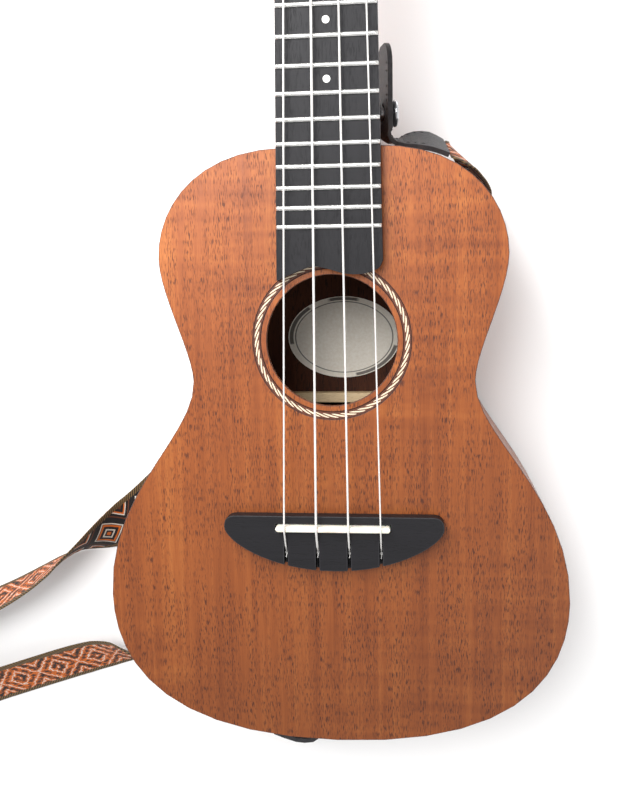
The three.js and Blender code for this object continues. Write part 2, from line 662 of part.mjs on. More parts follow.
const HEEL_TAB_ROUTE = [
  [[23.3, 216, 41.4], [-0.26, 0, -0.966]], [[23.3, 214, 41.4], [-0.26, 0, -0.966]],
  [[23.3, 211, 41.4], [-0.26, 0, -0.966]], [[23.3, 206, 41.4], [-0.26, 0, -0.966]],
  [[23.3, 196, 41.4], [-0.26, 0, -0.966]], [[23.3, 186, 41.4], [-0.26, 0, -0.966]],
  [[23.6, 179, 41.4], [-0.26, 0, -0.966]], [[25.4, 175.2, 41.4], [-0.2, 0.12, -0.97]],
  [[29.6, 173.4, 41.6], [-0.1, 0.25, -0.97]], [[36.5, 173.8, 41.7], [-0.05, 0.38, -0.92]],
  [[44, 173, 41], [-0.1, 0.43, -0.89]], [[51, 170.2, 38.8], [-0.18, 0.42, -0.88]],
];

const TAIL_TAB_ROUTE = [
  [[24, -109.6, 35], [0, 0, 1]], [[22, -109.5, 35], [0, 0, 1]], [[19, -109.4, 35], [0, 0, 1]],
  [[14, -109.4, 35], [0, 0, 1]], [[7, -109.4, 35], [0, 0, 1]], [[0, -109.4, 35], [0, 0, 1]],
  [[-6, -109.8, 35], [0, 0, 1]], [[-10.3, -114, 35], [0, 0, 1]], [[-14.5, -118.4, 35], [0, 0, 1]],
  [[-22, -119.2, 34.3], [-0.08, 0, 1]], [[-33, -116.4, 32.6], [-0.15, 0, 1]],
];

// Along the shoulder, down the side, flat under the body, out on the bass side, round a loop that
// stands on its edge, back to the body and along the lower bout to the tail.
const WEBBING_ROUTE = [
  [[52.1, 169.8, 38.45], [-0.18, 0.42, -0.88]], [[54.8, 168.7, 37.6], [-0.18, 0.42, -0.88]],
  [[58.6, 166.4, 33.5], [-0.33, 0.4, -0.85]], [[61.8, 163.3, 26.5], [-0.47, 0.43, -0.77]],
  [[64.2, 160.3, 18], [-0.6, 0.52, -0.6]], [[65.4, 158.2, 9.5], [-0.68, 0.66, -0.3]],
  [[65.3, 157, 3.5], [-0.72, 0.7, -0.05]], [[64.8, 156.6, 0.7], [-0.72, 0.7, 0]],
  [[63.2, 155.4, FLAT], [-0.72, 0.7, 0]],
  [[57, 150.4, FLAT], [-0.7, 0.72, 0]], [[30, 125.2, FLAT], [-0.7, 0.72, 0]],
  [[0, 96, FLAT], [-0.7, 0.72, 0]], [[-30, 66.5, FLAT], [-0.69, 0.72, 0]],
  [[-60, 38, FLAT], [-0.68, 0.73, 0]], [[-84, 13.5, FLAT], [-0.68, 0.74, 0]],
  [[-101.5, -4, FLAT], [-0.6, 0.8, 0]], [[-115.5, -16, 1], [-0.5, 0.85, 0.12]],
  [[-130, -24.5, 7.6], [-0.36, 0.6, 0.68]], [[-146, -33, 11.3], [-0.1, 0.15, 0.98]],
  [[-159, -41.5, 11.3], [0.1, -0.1, 0.99]], [[-172, -50, 11.1], [0.15, -0.22, 0.96]],
  [[-185, -57.5, 10.9], [0.18, -0.28, 0.94]], [[-199, -64.5, 10.7], [0.2, -0.33, 0.92]],
  [[-224, -77, 10.4], [0.2, -0.4, 0.9]], [[-248, -90, 10], [0.35, -0.38, 0.86]],
  [[-262, -104, 9.8], [0.5, -0.15, 0.85]], [[-265, -118, 9.4], [0.5, 0.15, 0.83]],
  [[-257, -131, 8.8], [0.3, 0.5, 0.8]], [[-242, -133.5, 7.6], [0, 0.7, 0.7]],
  [[-224, -124.5, 5.8], [-0.22, 0.82, 0.52]], [[-205, -116.5, 4.9], [-0.25, 0.84, 0.47]],
  [[-185, -109.5, 4.9], [-0.25, 0.83, 0.48]], [[-166, -103, 4.9], [-0.24, 0.83, 0.48]],
  [[-151, -98, 5.1], [-0.2, 0.84, 0.49]], [[-138, -94, 5.8], [-0.15, 0.82, 0.54]],
  [[-126, -91.4, 7.8], [-0.1, 0.7, 0.69]], [[-114, -91, 10.7], [-0.05, 0.35, 0.93]],
  [[-101, -94.4, 11.5], [-0.03, -0.1, 1]], [[-84, -102.5, 13.5], [-0.05, 0, 1]],
  [[-65, -110, 19.5], [-0.2, 0, 0.97]], [[-47, -114, 27], [-0.2, 0, 0.98]],
  [[-36.2, -115.5, 31.2], [-0.15, 0, 1]],
];

const heelHole = rod(LEATHER.hole, HEEL_BUTTON.tab - 5, HEEL_BUTTON.tab + 5)
  .rotateY(Math.PI / 2 + HEEL_BUTTON.lean)
  .translate(HEEL_BUTTON.x, HEEL_BUTTON.y, HEEL_BUTTON.z);
const tailHole = rod(LEATHER.hole, -5, 5).rotateX(Math.PI / 2).translate(0, -109.4, TAIL_BUTTON.z);
addPiece('strap_tab_heel', cut(band(HEEL_TAB_ROUTE, LEATHER.thick, tongue), heelHole), BLACK_LEATHER);
addPiece('strap_tab_tail', cut(band(TAIL_TAB_ROUTE, LEATHER.thick, tongue), tailHole), BLACK_LEATHER);
addPiece('strap', band(WEBBING_ROUTE, WEBBING.thick, () => WEBBING.width), WOVEN);

export default model;
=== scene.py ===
"""Looks of a concert ukulele with a woven shoulder strap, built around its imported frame.

Metres: +Z out of the soundboard, +Y towards the head, +X towards the treble side.
"""

import json
import math
import random

import bmesh
import bpy
from mathutils import Matrix, Vector


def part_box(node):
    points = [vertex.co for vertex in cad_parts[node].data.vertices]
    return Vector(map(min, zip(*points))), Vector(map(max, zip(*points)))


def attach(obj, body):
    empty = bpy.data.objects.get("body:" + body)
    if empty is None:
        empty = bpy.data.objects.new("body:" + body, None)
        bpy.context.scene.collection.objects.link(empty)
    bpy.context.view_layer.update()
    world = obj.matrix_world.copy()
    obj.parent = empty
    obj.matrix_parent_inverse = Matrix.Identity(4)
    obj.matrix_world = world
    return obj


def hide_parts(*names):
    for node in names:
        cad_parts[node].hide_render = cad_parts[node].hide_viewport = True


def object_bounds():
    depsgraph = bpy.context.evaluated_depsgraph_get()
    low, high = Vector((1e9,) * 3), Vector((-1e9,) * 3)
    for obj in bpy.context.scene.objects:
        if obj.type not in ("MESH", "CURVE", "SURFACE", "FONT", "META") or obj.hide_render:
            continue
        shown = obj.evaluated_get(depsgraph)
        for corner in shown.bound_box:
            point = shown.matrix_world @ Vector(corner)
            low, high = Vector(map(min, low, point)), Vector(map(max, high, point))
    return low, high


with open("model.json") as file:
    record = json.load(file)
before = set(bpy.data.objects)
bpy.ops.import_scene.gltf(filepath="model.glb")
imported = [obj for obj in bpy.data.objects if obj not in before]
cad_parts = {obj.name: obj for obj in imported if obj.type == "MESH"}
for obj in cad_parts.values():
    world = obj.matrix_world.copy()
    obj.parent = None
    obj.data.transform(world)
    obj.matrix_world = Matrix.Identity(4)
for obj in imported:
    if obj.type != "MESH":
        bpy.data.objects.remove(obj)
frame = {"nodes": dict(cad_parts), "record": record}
nodes = frame["nodes"]
CAD_LOW, CAD_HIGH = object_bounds()
BODY_OF = {
    node: body
    for body, members in frame["record"]["behaviour"]["bodies"].items()
    for node in members
}
scene = bpy.context.scene
scene.view_settings.view_transform = "Standard"

# ---------------------------------------------------------------- sizes

MM = 0.001
SCALE_LENGTH = 0.381
FRET_COUNT = 18
NUT_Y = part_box("nut")[0].y
BOARD_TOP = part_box("fingerboard")[1].z
BOARD_END_Y = 0.115
BOARD_HALF_AT_END = 0.02335
BOARD_HALF_AT_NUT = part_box("nut")[1].x
FRET_WIDTH = 2.1 * MM
FRET_HEIGHT = 1.0 * MM
GLUE = 0.05 * MM
TOP_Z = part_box("soundboard")[1].z
SOUNDHOLE_Y = 0.0842
ROSETTE_INNER = 0.0322
ROSETTE_OUTER = 0.0354

STRING_HALF_AT_NUT = 0.01434
STRING_HALF_AT_SADDLE = 0.02169
STRINGS = {"g": (-1, 0.8 * MM), "c": (-1 / 3, 1.05 * MM), "e": (1 / 3, 0.9 * MM), "a": (1, 0.7 * MM)}

HEAD_ORIGIN = Vector((0, 0.385, 0.07))
HEAD_TILT = math.radians(13)
HEAD = Matrix.Translation(HEAD_ORIGIN) @ Matrix.Rotation(-HEAD_TILT, 4, "X")
TUNERS = {"g": (-1, 0.038), "c": (-1, 0.082), "e": (1, 0.082), "a": (1, 0.038)}
POST_X = 0.018
POST_RADIUS = 0.003
WORM_OFFSET = 0.00675
WORM_DROP = -0.0188
KNOB_START = 0.0345
PLATE_LOW = -0.0158

WEBBING_WIDTH = 0.025
WEBBING_THICK = 0.001
LEATHER_THICK = 0.0022
STITCH_LENGTH = 0.0023
STITCH_PITCH = 0.0034
STITCH_ROW = 0.0085
PATTERN_LENGTH = 0.024
ZIGZAG_PITCH = 0.012
FIELD_HALF = 0.0097
BRAID_PITCH = 0.0017
THREAD_PITCH = 0.0011
PICK_PITCH = 0.0009
LABEL_ARCS = ((160, 30), (90, 16), (-45, 32))
HEEL_LEAN = math.radians(9)
random_turn = random.Random(7)

# ---------------------------------------------------------------- routes of the strap

# Stations of (centre, direction across the band), from the heel button to the tail button.
HEEL_TAB_ROUTE = [
    ((0.0233, 0.216, 0.0414), (-0.26, 0, -0.966)),
    ((0.0233, 0.214, 0.0414), (-0.26, 0, -0.966)),
    ((0.0233, 0.211, 0.0414), (-0.26, 0, -0.966)),
    ((0.0233, 0.206, 0.0414), (-0.26, 0, -0.966)),
    ((0.0233, 0.196, 0.0414), (-0.26, 0, -0.966)),
    ((0.0233, 0.186, 0.0414), (-0.26, 0, -0.966)),
    ((0.0236, 0.179, 0.0414), (-0.26, 0, -0.966)),
    ((0.0254, 0.1752, 0.0414), (-0.2, 0.12, -0.97)),
    ((0.0296, 0.1734, 0.0416), (-0.1, 0.25, -0.97)),
    ((0.0365, 0.1738, 0.0417), (-0.05, 0.38, -0.92)),
    ((0.044, 0.173, 0.041), (-0.1, 0.43, -0.89)),
    ((0.051, 0.1702, 0.0388), (-0.18, 0.42, -0.88)),
]
TAIL_TAB_ROUTE = [
    ((0.024, -0.1096, 0.035), (0, 0, 1)),
    ((0.022, -0.1095, 0.035), (0, 0, 1)),
    ((0.019, -0.1094, 0.035), (0, 0, 1)),
    ((0.014, -0.1094, 0.035), (0, 0, 1)),
    ((0.007, -0.1094, 0.035), (0, 0, 1)),
    ((0, -0.1094, 0.035), (0, 0, 1)),
    ((-0.006, -0.1098, 0.035), (0, 0, 1)),
    ((-0.0103, -0.114, 0.035), (0, 0, 1)),
    ((-0.0145, -0.1184, 0.035), (0, 0, 1)),
    ((-0.022, -0.1192, 0.0343), (-0.08, 0, 1)),
    ((-0.033, -0.1164, 0.0326), (-0.15, 0, 1)),
]
WEBBING_ROUTE = [
    ((0.0521, 0.1698, 0.03845), (-0.18, 0.42, -0.88)),
    ((0.0548, 0.1687, 0.0376), (-0.18, 0.42, -0.88)),
    ((0.0586, 0.1664, 0.0335), (-0.33, 0.4, -0.85)),
    ((0.0618, 0.1633, 0.0265), (-0.47, 0.43, -0.77)),
    ((0.0642, 0.1603, 0.018), (-0.6, 0.52, -0.6)),
    ((0.0654, 0.1582, 0.0095), (-0.68, 0.66, -0.3)),
    ((0.0653, 0.157, 0.0035), (-0.72, 0.7, -0.05)),
    ((0.0648, 0.1566, 0.0007), (-0.72, 0.7, 0)),
    ((0.0632, 0.1554, -0.0007), (-0.72, 0.7, 0)),
    ((0.057, 0.1504, -0.0007), (-0.7, 0.72, 0)),
    ((0.03, 0.1252, -0.0007), (-0.7, 0.72, 0)),
    ((0, 0.096, -0.0007), (-0.7, 0.72, 0)),
    ((-0.03, 0.0665, -0.0007), (-0.69, 0.72, 0)),
    ((-0.06, 0.038, -0.0007), (-0.68, 0.73, 0)),
    ((-0.084, 0.0135, -0.0007), (-0.68, 0.74, 0)),
    ((-0.1015, -0.004, -0.0007), (-0.6, 0.8, 0)),
    ((-0.1155, -0.016, 0.001), (-0.5, 0.85, 0.12)),
    ((-0.13, -0.0245, 0.0076), (-0.36, 0.6, 0.68)),
    ((-0.146, -0.033, 0.0113), (-0.1, 0.15, 0.98)),
    ((-0.159, -0.0415, 0.0113), (0.1, -0.1, 0.99)),
    ((-0.172, -0.05, 0.0111), (0.15, -0.22, 0.96)),
    ((-0.185, -0.0575, 0.0109), (0.18, -0.28, 0.94)),
    ((-0.199, -0.0645, 0.0107), (0.2, -0.33, 0.92)),
    ((-0.224, -0.077, 0.0104), (0.2, -0.4, 0.9)),
    ((-0.248, -0.09, 0.01), (0.35, -0.38, 0.86)),
    ((-0.262, -0.104, 0.0098), (0.5, -0.15, 0.85)),
    ((-0.265, -0.118, 0.0094), (0.5, 0.15, 0.83)),
    ((-0.257, -0.131, 0.0088), (0.3, 0.5, 0.8)),
    ((-0.242, -0.1335, 0.0076), (0, 0.7, 0.7)),
    ((-0.224, -0.1245, 0.0058), (-0.22, 0.82, 0.52)),
    ((-0.205, -0.1165, 0.0049), (-0.25, 0.84, 0.47)),
    ((-0.185, -0.1095, 0.0049), (-0.25, 0.83, 0.48)),
    ((-0.166, -0.103, 0.0049), (-0.24, 0.83, 0.48)),
    ((-0.151, -0.098, 0.0051), (-0.2, 0.84, 0.49)),
    ((-0.138, -0.094, 0.0058), (-0.15, 0.82, 0.54)),
    ((-0.126, -0.0914, 0.0078), (-0.1, 0.7, 0.69)),
    ((-0.114, -0.091, 0.0107), (-0.05, 0.35, 0.93)),
    ((-0.101, -0.0944, 0.0115), (-0.03, -0.1, 1)),
    ((-0.084, -0.1025, 0.0135), (-0.05, 0, 1)),
    ((-0.065, -0.11, 0.0195), (-0.2, 0, 0.97)),
    ((-0.047, -0.114, 0.027), (-0.2, 0, 0.98)),
    ((-0.0362, -0.1155, 0.0312), (-0.15, 0, 1)),
]

# ---------------------------------------------------------------- camera

camera = bpy.data.objects.new("camera", bpy.data.cameras.new("camera"))
camera.location = (0.03943, 0.11525, 0.48024)
camera.rotation_euler = (-0.1406, 0.1060, -0.0163)
camera.data.lens = 41.67
camera.data.sensor_width = 36
scene.collection.objects.link(camera)
scene.camera = camera

# ---------------------------------------------------------------- mesh helpers


def piece_from(name, points, faces, material, body="instrument", slot=None, smooth=40):
    """A new piece: faces turned outwards, smooth up to an angle in degrees, riding on a body."""
    mesh = bpy.data.meshes.new(name)
    mesh.from_pydata([tuple(p) for p in points], [], faces)
    work = bmesh.new()
    work.from_mesh(mesh)
    bmesh.ops.recalc_face_normals(work, faces=work.faces)
    work.to_mesh(mesh)
    work.free()
    mesh.materials.append(material)
    mesh.shade_smooth()
    mesh.set_sharp_from_angle(angle=math.radians(smooth))
    piece = bpy.data.objects.new(name, mesh)
    scene.collection.objects.link(piece)
    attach(piece, body)
    return piece


def note(piece, name, value_at):
    """Stores a vector at every vertex, worked out from where the vertex is."""
    layer = piece.data.attributes.new(name, "FLOAT_VECTOR", "POINT")
    values = [x for vertex in piece.data.vertices for x in value_at(vertex.co)]
    layer.data.foreach_set("vector", values)


def skin(rings, closed=False):
    """Points and faces through rings of equal point count, capped at both ends unless closed."""
    count = len(rings[0])
    points = [p for ring in rings for p in ring]
    faces = []
    for r in range(len(rings) if closed else len(rings) - 1):
        for i in range(count):
            a = r * count + i
            b = r * count + (i + 1) % count
            c = ((r + 1) % len(rings)) * count + (i + 1) % count
            d = ((r + 1) % len(rings)) * count + i
            faces.append((a, b, c, d))
    if not closed:
        faces.append(tuple(range(count)))
        faces.append(tuple(len(points) - 1 - i for i in range(count)))
    return points, faces


def tube(path, radius, sides=12):
    """A round skin along a path, without twist. The radius may be a function of the path's share."""
    thickness = radius if callable(radius) else lambda share: radius
    along = (path[1] - path[0]).normalized()
    side = along.orthogonal().normalized()
    rings = []
    for i, p in enumerate(path):
        ahead = path[min(i + 1, len(path) - 1)] - path[max(i - 1, 0)]
        turn = along.rotation_difference(ahead.normalized())
        along = ahead.normalized()
        side = (turn @ side).normalized()
        other = along.cross(side)
        r = thickness(i / (len(path) - 1))
        rings.append(
            [
                p + side * r * math.cos(t) + other * r * math.sin(t)
                for t in (2 * math.pi * k / sides for k in range(sides))
            ]
        )
    return skin(rings)


def turned(profile, place, segments=40, flatten=1.0):
    """A skin turned round the Z axis of a place, from (radius, height) pairs."""
    rings = []
    for radius, height in profile:
        rings.append(
            [
                place @ Vector((flatten * radius * math.cos(t), radius * math.sin(t), height))
                for t in (2 * math.pi * k / segments for k in range(segments))
            ]
        )
    return skin(rings)


def gather(parts):
    """Several skins as one."""
    points, faces = [], []
    for more_points, more_faces in parts:
        start = len(points)
        points += more_points
        faces += [tuple(i + start for i in face) for face in more_faces]
    return points, faces


def around_body(p):
    return p.z, 0.13 * math.atan2(p.x, p.y - 0.03), 0.5


def refined(node, material, bevel=0.3 * MM, grain=None, edge=None, segments=2):
    """A CAD node's shape with its hard edges rounded off, standing for the node."""
    source = nodes[node].data
    work = bmesh.new()
    for vertex in source.vertices:
        work.verts.new(vertex.co)
    work.verts.ensure_lookup_table()
    for polygon in source.polygons:
        corners = [work.verts[i] for i in polygon.vertices]
        if work.faces.get(corners) is None:
            work.faces.new(corners)
    bmesh.ops.remove_doubles(work, verts=work.verts, dist=2e-6)
    bmesh.ops.dissolve_limit(
        work, angle_limit=math.radians(0.4), verts=work.verts, edges=work.edges
    )
    hard = [e for e in work.edges if len(e.link_faces) == 2 and e.calc_face_angle() > 0.6]
    if bevel:
        bmesh.ops.bevel(
            work,
            geom=hard,
            offset=bevel,
            segments=segments,
            profile=0.5,
            affect="EDGES",
            clamp_overlap=True,
            material=1 if edge else -1,
        )
    mesh = bpy.data.meshes.new(node + "_detail")
    work.to_mesh(mesh)
    work.free()
    mesh.materials.append(material)
    if edge:
        mesh.materials.append(edge)
    mesh.shade_smooth()
    mesh.set_sharp_from_angle(angle=math.radians(42))
    piece = bpy.data.objects.new(node + "_detail", mesh)
    scene.collection.objects.link(piece)
    if grain:
        note(piece, "grain", grain)
    weighted = piece.modifiers.new("normals", "WEIGHTED_NORMAL")
    weighted.keep_sharp = True
    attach(piece, BODY_OF[node])
    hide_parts(node)
    return piece


# ---------------------------------------------------------------- material helpers


class Surface:
    """A procedural material being put together from nodes."""

    def __init__(self, name, values):
        self.material = bpy.data.materials.new(name)
        self.material.use_nodes = True
        self.tree = self.material.node_tree
        self.shader = self.tree.nodes["Principled BSDF"]
        for socket, value in values.items():
            self.put(self.shader.inputs[socket], value)

    def put(self, socket, value):
        if isinstance(value, bpy.types.NodeSocket):
            self.tree.links.new(value, socket)
        else:
            socket.default_value = value

    def node(self, kind, values, **settings):
        made = self.tree.nodes.new(kind)
        for key, value in settings.items():
            setattr(made, key, value)
        for socket, value in values.items():
            self.put(made.inputs[socket], value)
        return made

    def stored(self, name):
        return self.node("ShaderNodeAttribute", {}, attribute_name=name).outputs["Vector"]

    def place(self):
        return self.node("ShaderNodeTexCoord", {}).outputs["Object"]

    def facing(self):
        return self.node("ShaderNodeTexCoord", {}).outputs["Normal"]

    def dot(self, a, b):
        return self.node("ShaderNodeVectorMath", {0: a, 1: b}, operation="DOT_PRODUCT").outputs[1]

    def joined(self, x, y, z):
        return self.node("ShaderNodeCombineXYZ", {0: x, 1: y, 2: z}).outputs[0]

    def parts(self, vector):
        return self.node("ShaderNodeSeparateXYZ", {0: vector}).outputs

    def stretched(self, vector, factors):
        values = {0: vector, 1: factors}
        return self.node("ShaderNodeVectorMath", values, operation="MULTIPLY").outputs[0]

    def math(self, operation, a, b=0.0):
        return self.node("ShaderNodeMath", {0: a, 1: b}, operation=operation).outputs[0]

    def noise(self, vector, factors, detail=2.0, roughness=0.5):
        values = {
            "Vector": self.stretched(vector, factors),
            "Scale": 1.0,
            "Detail": detail,
            "Roughness": roughness,
        }
        return self.node("ShaderNodeTexNoise", values).outputs["Fac"]

    def cells(self, vector, factors, feature="F1"):
        values = {"Vector": self.stretched(vector, factors), "Scale": 1.0}
        made = self.node("ShaderNodeTexVoronoi", values, feature=feature)
        return made.outputs["Distance"]

    def level(self, value, low, high):
        """0 below low, 1 above high."""
        values = {"Value": value, "From Min": low, "From Max": high}
        return self.node("ShaderNodeMapRange", values, clamp=True).outputs[0]

    def ramp(self, value, stops, sudden=False):
        made = self.node("ShaderNodeValToRGB", {"Fac": value})
        band = made.color_ramp
        band.interpolation = "CONSTANT" if sudden else "LINEAR"
        while len(band.elements) < len(stops):
            band.elements.new(1.0)
        for element, (position, color) in zip(band.elements, stops):
            element.position = position
            element.color = (*color, 1)
        return made.outputs["Color"]

    def mix(self, amount, a, b, blend="MIX"):
        made = self.node("ShaderNodeMix", {}, data_type="RGBA", blend_type=blend)
        self.put(made.inputs[0], amount)
        self.put(made.inputs[6], a)
        self.put(made.inputs[7], b)
        return made.outputs[2]

    def bump(self, height, strength, distance):
        values = {"Height": height, "Strength": strength, "Distance": distance}
        normal = self.node("ShaderNodeBump", values).outputs["Normal"]
        self.put(self.shader.inputs["Normal"], normal)

    def finish(self, color=None, roughness=None):
        if color is not None:
            self.put(self.shader.inputs["Base Color"], color)
        if roughness is not None:
            self.put(self.shader.inputs["Roughness"], roughness)
        return self.material


def tone(*shades):
    """A linear colour from red, green and blue on the display's 0 to 255 scale."""
    return tuple((s / 255) ** 2.2 for s in shades)


def solid(color):
    return (*color, 1)


# ---------------------------------------------------------------- materials


# Masks for the inside faces of the body, where wood() paints shade into the colour and makes it rougher.
def inner_of_top(s):
    return s.level(s.parts(s.facing())[2], -0.4, -0.6)


def inner_of_back(s):
    return s.level(s.parts(s.facing())[2], 0.4, 0.6)


def painted_shade_in_bridge_slots(s):
    """Painted shade in the narrow string slots, below the bridge's top: a mask that darkens the wood there.
    """
    x, y, z = s.parts(s.place())[:3]
    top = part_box("bridge")[1].z
    near = None
    for share in (1.0, 1 / 3):
        away = s.math("SUBTRACT", s.math("ABSOLUTE", x), STRING_HALF_AT_SADDLE * share)
        close = s.level(s.math("ABSOLUTE", away), 1.0 * MM, 0.9 * MM)
        near = close if near is None else s.math("MAXIMUM", near, close)
    behind = s.level(y, -5.9 * MM, -6.2 * MM)
    below = s.level(z, top - 0.3 * MM, top - 0.8 * MM)
    return s.math("MULTIPLY", near, s.math("MULTIPLY", behind, below))


def inner_of_ribs(s):
    outwards = s.stretched(
        s.node("ShaderNodeVectorMath", {0: s.place(), 1: (0, 0.03, 0)}, operation="SUBTRACT").outputs[0],
        (1, 1, 0),
    )
    return s.level(s.dot(s.facing(), outwards), 0.0, -0.01)


def wood(name, tones, gloss, direction="y", pore_strength=0.82, figure=1.0, ior=1.48, painted_falloff=0.0, inner=None):
    """Straight-grained wood: ribbons, fine fibres, and short dark pores in clusters.

    Tones are dark, middle, light and pore. The painted falloff darkens the wood slowly from head to tail
    and towards the treble side: painted light, lighter at the head and the bass side.
    The inner side, where there is one, is raw and rough, and painted shade darkens its colour.
    """
    dark, middle, light, pore = tones
    s = Surface(name, {"IOR": ior})
    x, y, z = s.parts(s.place())[:3]
    orders = {"x": (y, x, z), "y": (x, y, z)}
    grain = s.joined(*orders[direction]) if direction in orders else s.stored("grain")
    ribbon = s.noise(grain, (46, 2.0, 46), 2.5, 0.55)
    cloud = s.noise(grain, (15, 8, 15), 3.0, 0.5)
    streak = s.noise(grain, (480, 10, 480), 3.0, 0.6)
    fibre = s.noise(grain, (2700, 60, 2700), 2.0, 0.6)
    body = s.math("ADD", s.math("MULTIPLY", ribbon, 0.34), s.math("MULTIPLY", cloud, 0.20))
    fine = s.math("ADD", s.math("MULTIPLY", streak, 0.28), s.math("MULTIPLY", fibre, 0.18))
    ripple = s.math("SUBTRACT", s.noise(grain, (20, 170, 20), 2.0, 0.5), 0.5)
    patch = s.level(s.noise(grain, (9, 11, 9), 1.0, 0.5), 0.42, 0.66)
    curl = s.math("MULTIPLY", s.math("MULTIPLY", ripple, patch), 0.30)
    shade = s.math("ADD", s.math("ADD", body, fine), curl)
    spread = 0.17 * figure
    color = s.ramp(shade, [(0.5 - spread, dark), (0.5, middle), (0.5 + spread, light)])
    dash = s.level(s.noise(grain, (2500, 300, 2500), 1.0, 0.5), 0.535, 0.62)
    crowd = s.level(s.noise(grain, (170, 26, 170), 2.0, 0.6), 0.32, 0.55)
    pores = s.math("MULTIPLY", dash, crowd)
    color = s.mix(s.math("MULTIPLY", pores, pore_strength), color, solid(pore))
    # Painted light: the colour is multiplied by a falloff, lighter at the head and bass side, darker towards
    # the tail and treble side.
    if painted_falloff:
        rise = s.math("SUBTRACT", s.math("MULTIPLY", y, 8.0), s.math("MULTIPLY", x, 2.6))
        share = s.level(rise, -0.7, 1.3)
        painted_shade_tint = tuple(1 - painted_falloff * part for part in (1.0, 1.03, 1.06))
        color = s.mix(1.0, color, s.ramp(share, [(0.0, painted_shade_tint), (1.0, (1, 1, 1))]), "MULTIPLY")
    relief = s.math("SUBTRACT", s.math("MULTIPLY", fibre, 0.5), pores)
    s.bump(relief, 0.22, 0.12 * MM)
    rough = s.math("ADD", gloss, s.math("MULTIPLY", s.math("ADD", pores, streak), 0.10))
    # Inside faces: raw, rougher wood, and painted shade multiplying the colour by about a fifth.
    if inner:
        inside_with_painted_shade = inner(s)
        color = s.mix(inside_with_painted_shade, color, s.mix(1.0, color, solid((0.22, 0.20, 0.22)), "MULTIPLY"))
        rough = s.math("MAXIMUM", rough, s.math("MULTIPLY", inside_with_painted_shade, 0.8))
    return s.finish(color, rough)


MAHOGANY_TONES = (tone(120, 60, 29), tone(155, 84, 40), tone(183, 108, 53), tone(72, 34, 19))
INLAY_AND_EDGE_SHADE_TONES = (tone(74, 40, 26), tone(88, 48, 31), tone(106, 60, 38), tone(54, 29, 21))
SPRUCE_TONES = (tone(206, 174, 130), tone(224, 194, 150), tone(236, 210, 170), tone(164, 128, 90))
DARK_TONES = (tone(25, 24, 27), tone(29, 28, 31), tone(33, 32, 35), tone(18, 17, 19))
DARK_EDGE_TONES = (tone(40, 39, 42), tone(46, 45, 48), tone(52, 51, 54), tone(30, 29, 32))
# The painted falloff is painted light from the upper left, shared by all the satin mahogany.
SATIN_WITH_PAINTED_FALLOFF = {"gloss": 0.33, "ior": 1.42, "painted_falloff": 0.45}
MAHOGANY = wood("mahogany", MAHOGANY_TONES, **SATIN_WITH_PAINTED_FALLOFF)
MAHOGANY_TOP = wood("mahogany_top", MAHOGANY_TONES, inner=inner_of_top, **SATIN_WITH_PAINTED_FALLOFF)
MAHOGANY_BACK = wood("mahogany_back", MAHOGANY_TONES, inner=inner_of_back, **SATIN_WITH_PAINTED_FALLOFF)
MAHOGANY_RIBS = wood("mahogany_ribs", MAHOGANY_TONES, direction="stored", inner=inner_of_ribs, **SATIN_WITH_PAINTED_FALLOFF)
# Darker wood for the rosette's inlay lines, also laid on the rounded edges of the top and back as painted
# shade.
INLAY_AND_EDGE_SHADE_WOOD = wood("mahogany_inlay_and_edge_shade", INLAY_AND_EDGE_SHADE_TONES, 0.40)
PLANED = {"gloss": 0.6, "pore_strength": 0.25}
SPRUCE = wood("brace_spruce", SPRUCE_TONES, **PLANED)
SPRUCE_ACROSS = wood("brace_spruce_across", SPRUCE_TONES, direction="x", **PLANED)
SPRUCE_BENT = wood("lining_spruce", SPRUCE_TONES, direction="stored", **PLANED)
DARK_WOOD = wood("dark_wood", DARK_TONES, 0.42, "y", 0.5, ior=1.33)
# The bridge's dark wood, with painted shade in its string slots.
BRIDGE_WOOD = wood("bridge_wood", DARK_TONES, 0.42, "x", 0.5, ior=1.33, inner=painted_shade_in_bridge_slots)
DARK_EDGE = wood("dark_wood_edge", DARK_EDGE_TONES, 0.38, "y", 0.3, ior=1.33)


def metal(name, color, roughness, brushed):
    """Plated metal with fine rubbing marks and slight clouding."""
    s = Surface(name, {"Metallic": 1.0})
    place = s.place()
    marks = s.noise(place, brushed, 3.0, 0.65)
    cloud = s.noise(place, (240, 240, 240), 2.0, 0.5)
    dull = tuple(c * 0.84 for c in color)
    shade = s.ramp(cloud, [(0.3, dull), (0.62, color)])
    s.bump(marks, 0.06, 0.05 * MM)
    rough = s.math("ADD", roughness - 0.06, s.math("MULTIPLY", marks, 0.16))
    return s.finish(shade, rough)


CHROME = metal("chrome_plate", tone(226, 227, 230), 0.16, (900, 900, 900))
NICKEL = metal("fret_nickel", tone(236, 235, 232), 0.27, (300, 5200, 5200))


def bone_material():
    s = Surface("bone", {"IOR": 1.53, "Subsurface Weight": 0.12, "Subsurface Scale": 0.8 * MM})
    place = s.place()
    cloud = s.noise(place, (160, 420, 420), 3.0, 0.55)
    flecks = s.noise(place, (900, 3400, 3400), 1.0, 0.5)
    stops = [(0.3, tone(226, 217, 196)), (0.55, tone(242, 237, 224)), (0.8, tone(248, 245, 236))]
    color = s.ramp(cloud, stops)
    color = s.mix(s.math("MULTIPLY", s.level(flecks, 0.64, 0.72), 0.25), color, solid(tone(196, 178, 148)))
    s.bump(flecks, 0.08, 0.05 * MM)
    return s.finish(color, s.math("ADD", 0.26, s.math("MULTIPLY", cloud, 0.18)))


